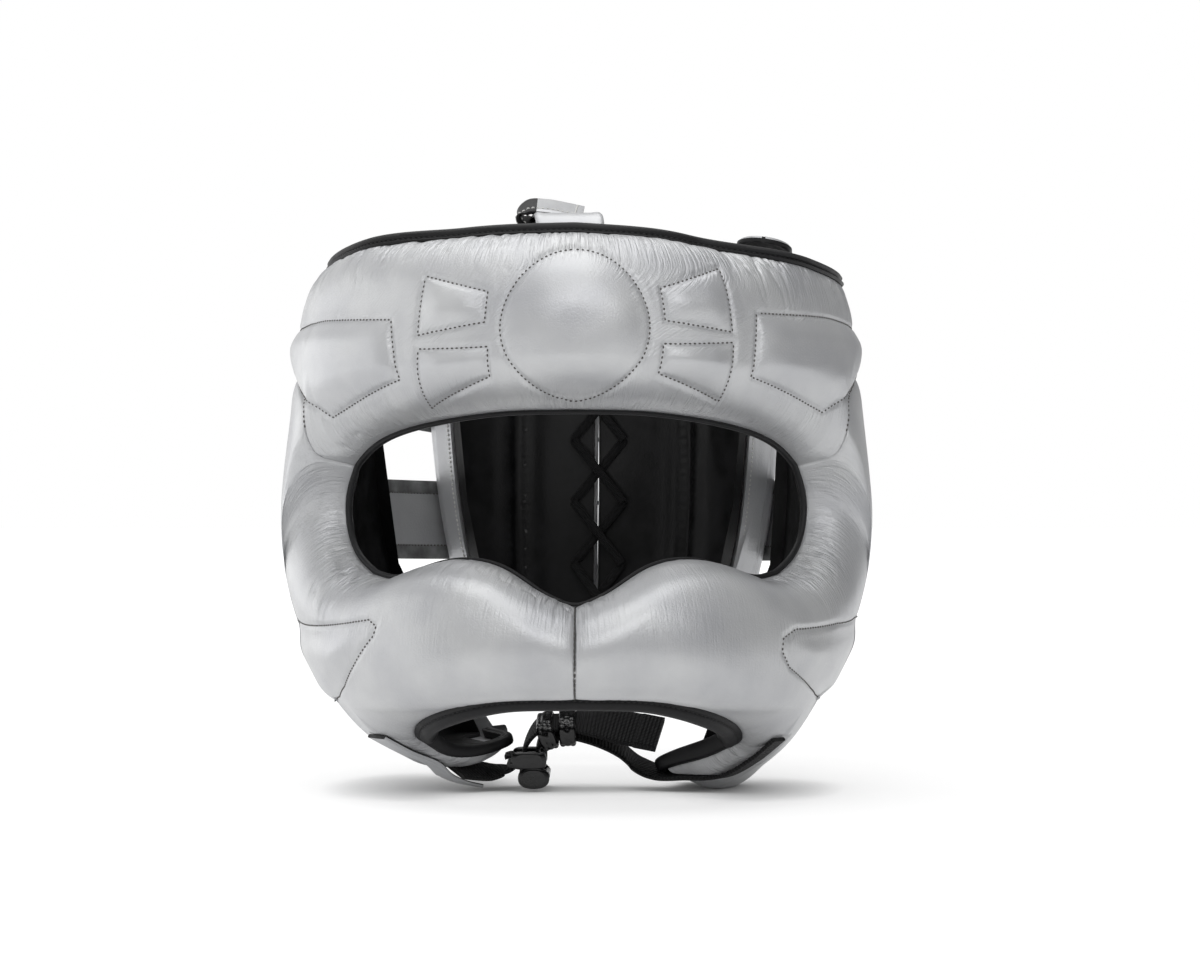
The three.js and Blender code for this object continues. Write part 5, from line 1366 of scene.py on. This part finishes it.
# seam row: mm from the edge, mm more at the eye's corner, where the padding rolls in, and spans that takes
seamRow = {"off": 2.8, "more": 7, "spans": 2.6}
shellPaths = []
turn = np.linspace(0, 2 * math.pi, 400)
disc = panels["disc"]
shellPaths.append(onSurface(brow, np.stack([disc["halfAngle"] * np.sin(turn),
                                            disc["height"] + disc["halfHeight"] * np.cos(turn)], -1)))
for corners in panels["brow"]:
    shellPaths.append(onSurface(brow, outlinePath(corners)))
for side, sign in (("right", 1), ("left", -1)):
    line = outlinePath(panels["cheek"][sign], closed=False)
    shellPaths.append(onSurface(guards[side], line[np.abs(line[:, 0]) < 104]))
    seam = brow["spot"] * sign >= browSizes["eyeSpans"] + 0.1
    fromCorner = brow["spot"][seam] * sign - browSizes["eyeSpans"]
    off = seamRow["off"] + seamRow["more"] * ease(seamRow["spans"], 0, fromCorner)
    row = np.argmin(np.abs(runs(brow["outer"][seam], 1) - off[:, None]), 1)[:, None, None]
    shellPaths.append([np.take_along_axis(brow[key][seam], row, 1)[:, 0] for key in ("outer", "outward")])
buildStitches("shell_stitches", shellPaths, darkThread, lift=0.05)
middleSeam = [guards["left"][key][1, 6:-4] * (0, 1, 1) for key in ("outer", "outward")]
buildStitches("middle_seam_stitches", [(middleSeam[0], unit(middleSeam[1]))], darkThread,
              {"pitch": 2.4, "length": 2.1, "radius": 0.24, "dip": 0.15}, lift=0.05)


def tapeLine(rings, station):
    # one station of a tape's section all along it, and the way out from the section's middle
    return rings[:, station], unit(rings[:, station] - rings.mean(1))


tapeStitches = [tapeLine(tapes[key], 5) for key in ("top", "chin", "left", "right")]
buildStitches("tape_stitches", tapeStitches, blackThread,
              {"pitch": 2.3, "length": 1.6, "radius": 0.28, "dip": 0.2}, lift=0.15)


def acrossRow(path, row, half, proud, way=1):
    # stitch row across a strap: half its width to each side, on the face that the way points to
    middle, wide, face = (path[key][row] for key in ("middle", "wide", "face"))
    line = middle + np.linspace(-half, half, 40)[:, None] * wide + way * proud * face
    return line, np.broadcast_to(way * face, line.shape)


loopSides = [(crownLoop["middle"] - 6.6 * crownLoop["wide"] + way * 1.15 * crownLoop["face"],
              way * crownLoop["face"]) for way in (1, -1)]
buildStitches("loop_stitches", [*loopSides, acrossRow(crownLoop, -7, 8, 1.15)], lightThread)
# pale row where each back panel's leather meets its lining, on the wall that the eye opening shows
wall = slice(4, -4)
wallPaths = [(0.8 * faces["inner"][0, wall] + 0.2 * faces["outer"][0, wall],
              unit(faces["inner"][0, wall] - faces["inner"][1, wall])) for faces in backs.values()]
buildStitches("back_wall_stitches", wallPaths, lightThread)
strapPaths = [row for rows in strapRows.values() for row in rows]
strapPaths += [acrossRow(path, row, 10, 1.25, way)
               for path, row, way in ((crown, -6, -1), (crown, -16, -1), (hook, 6, 1), (hook, 20, 1))]
buildStitches("strap_stitches", strapPaths, darkThread)
print("stitches: panels, seams, tapes and straps")
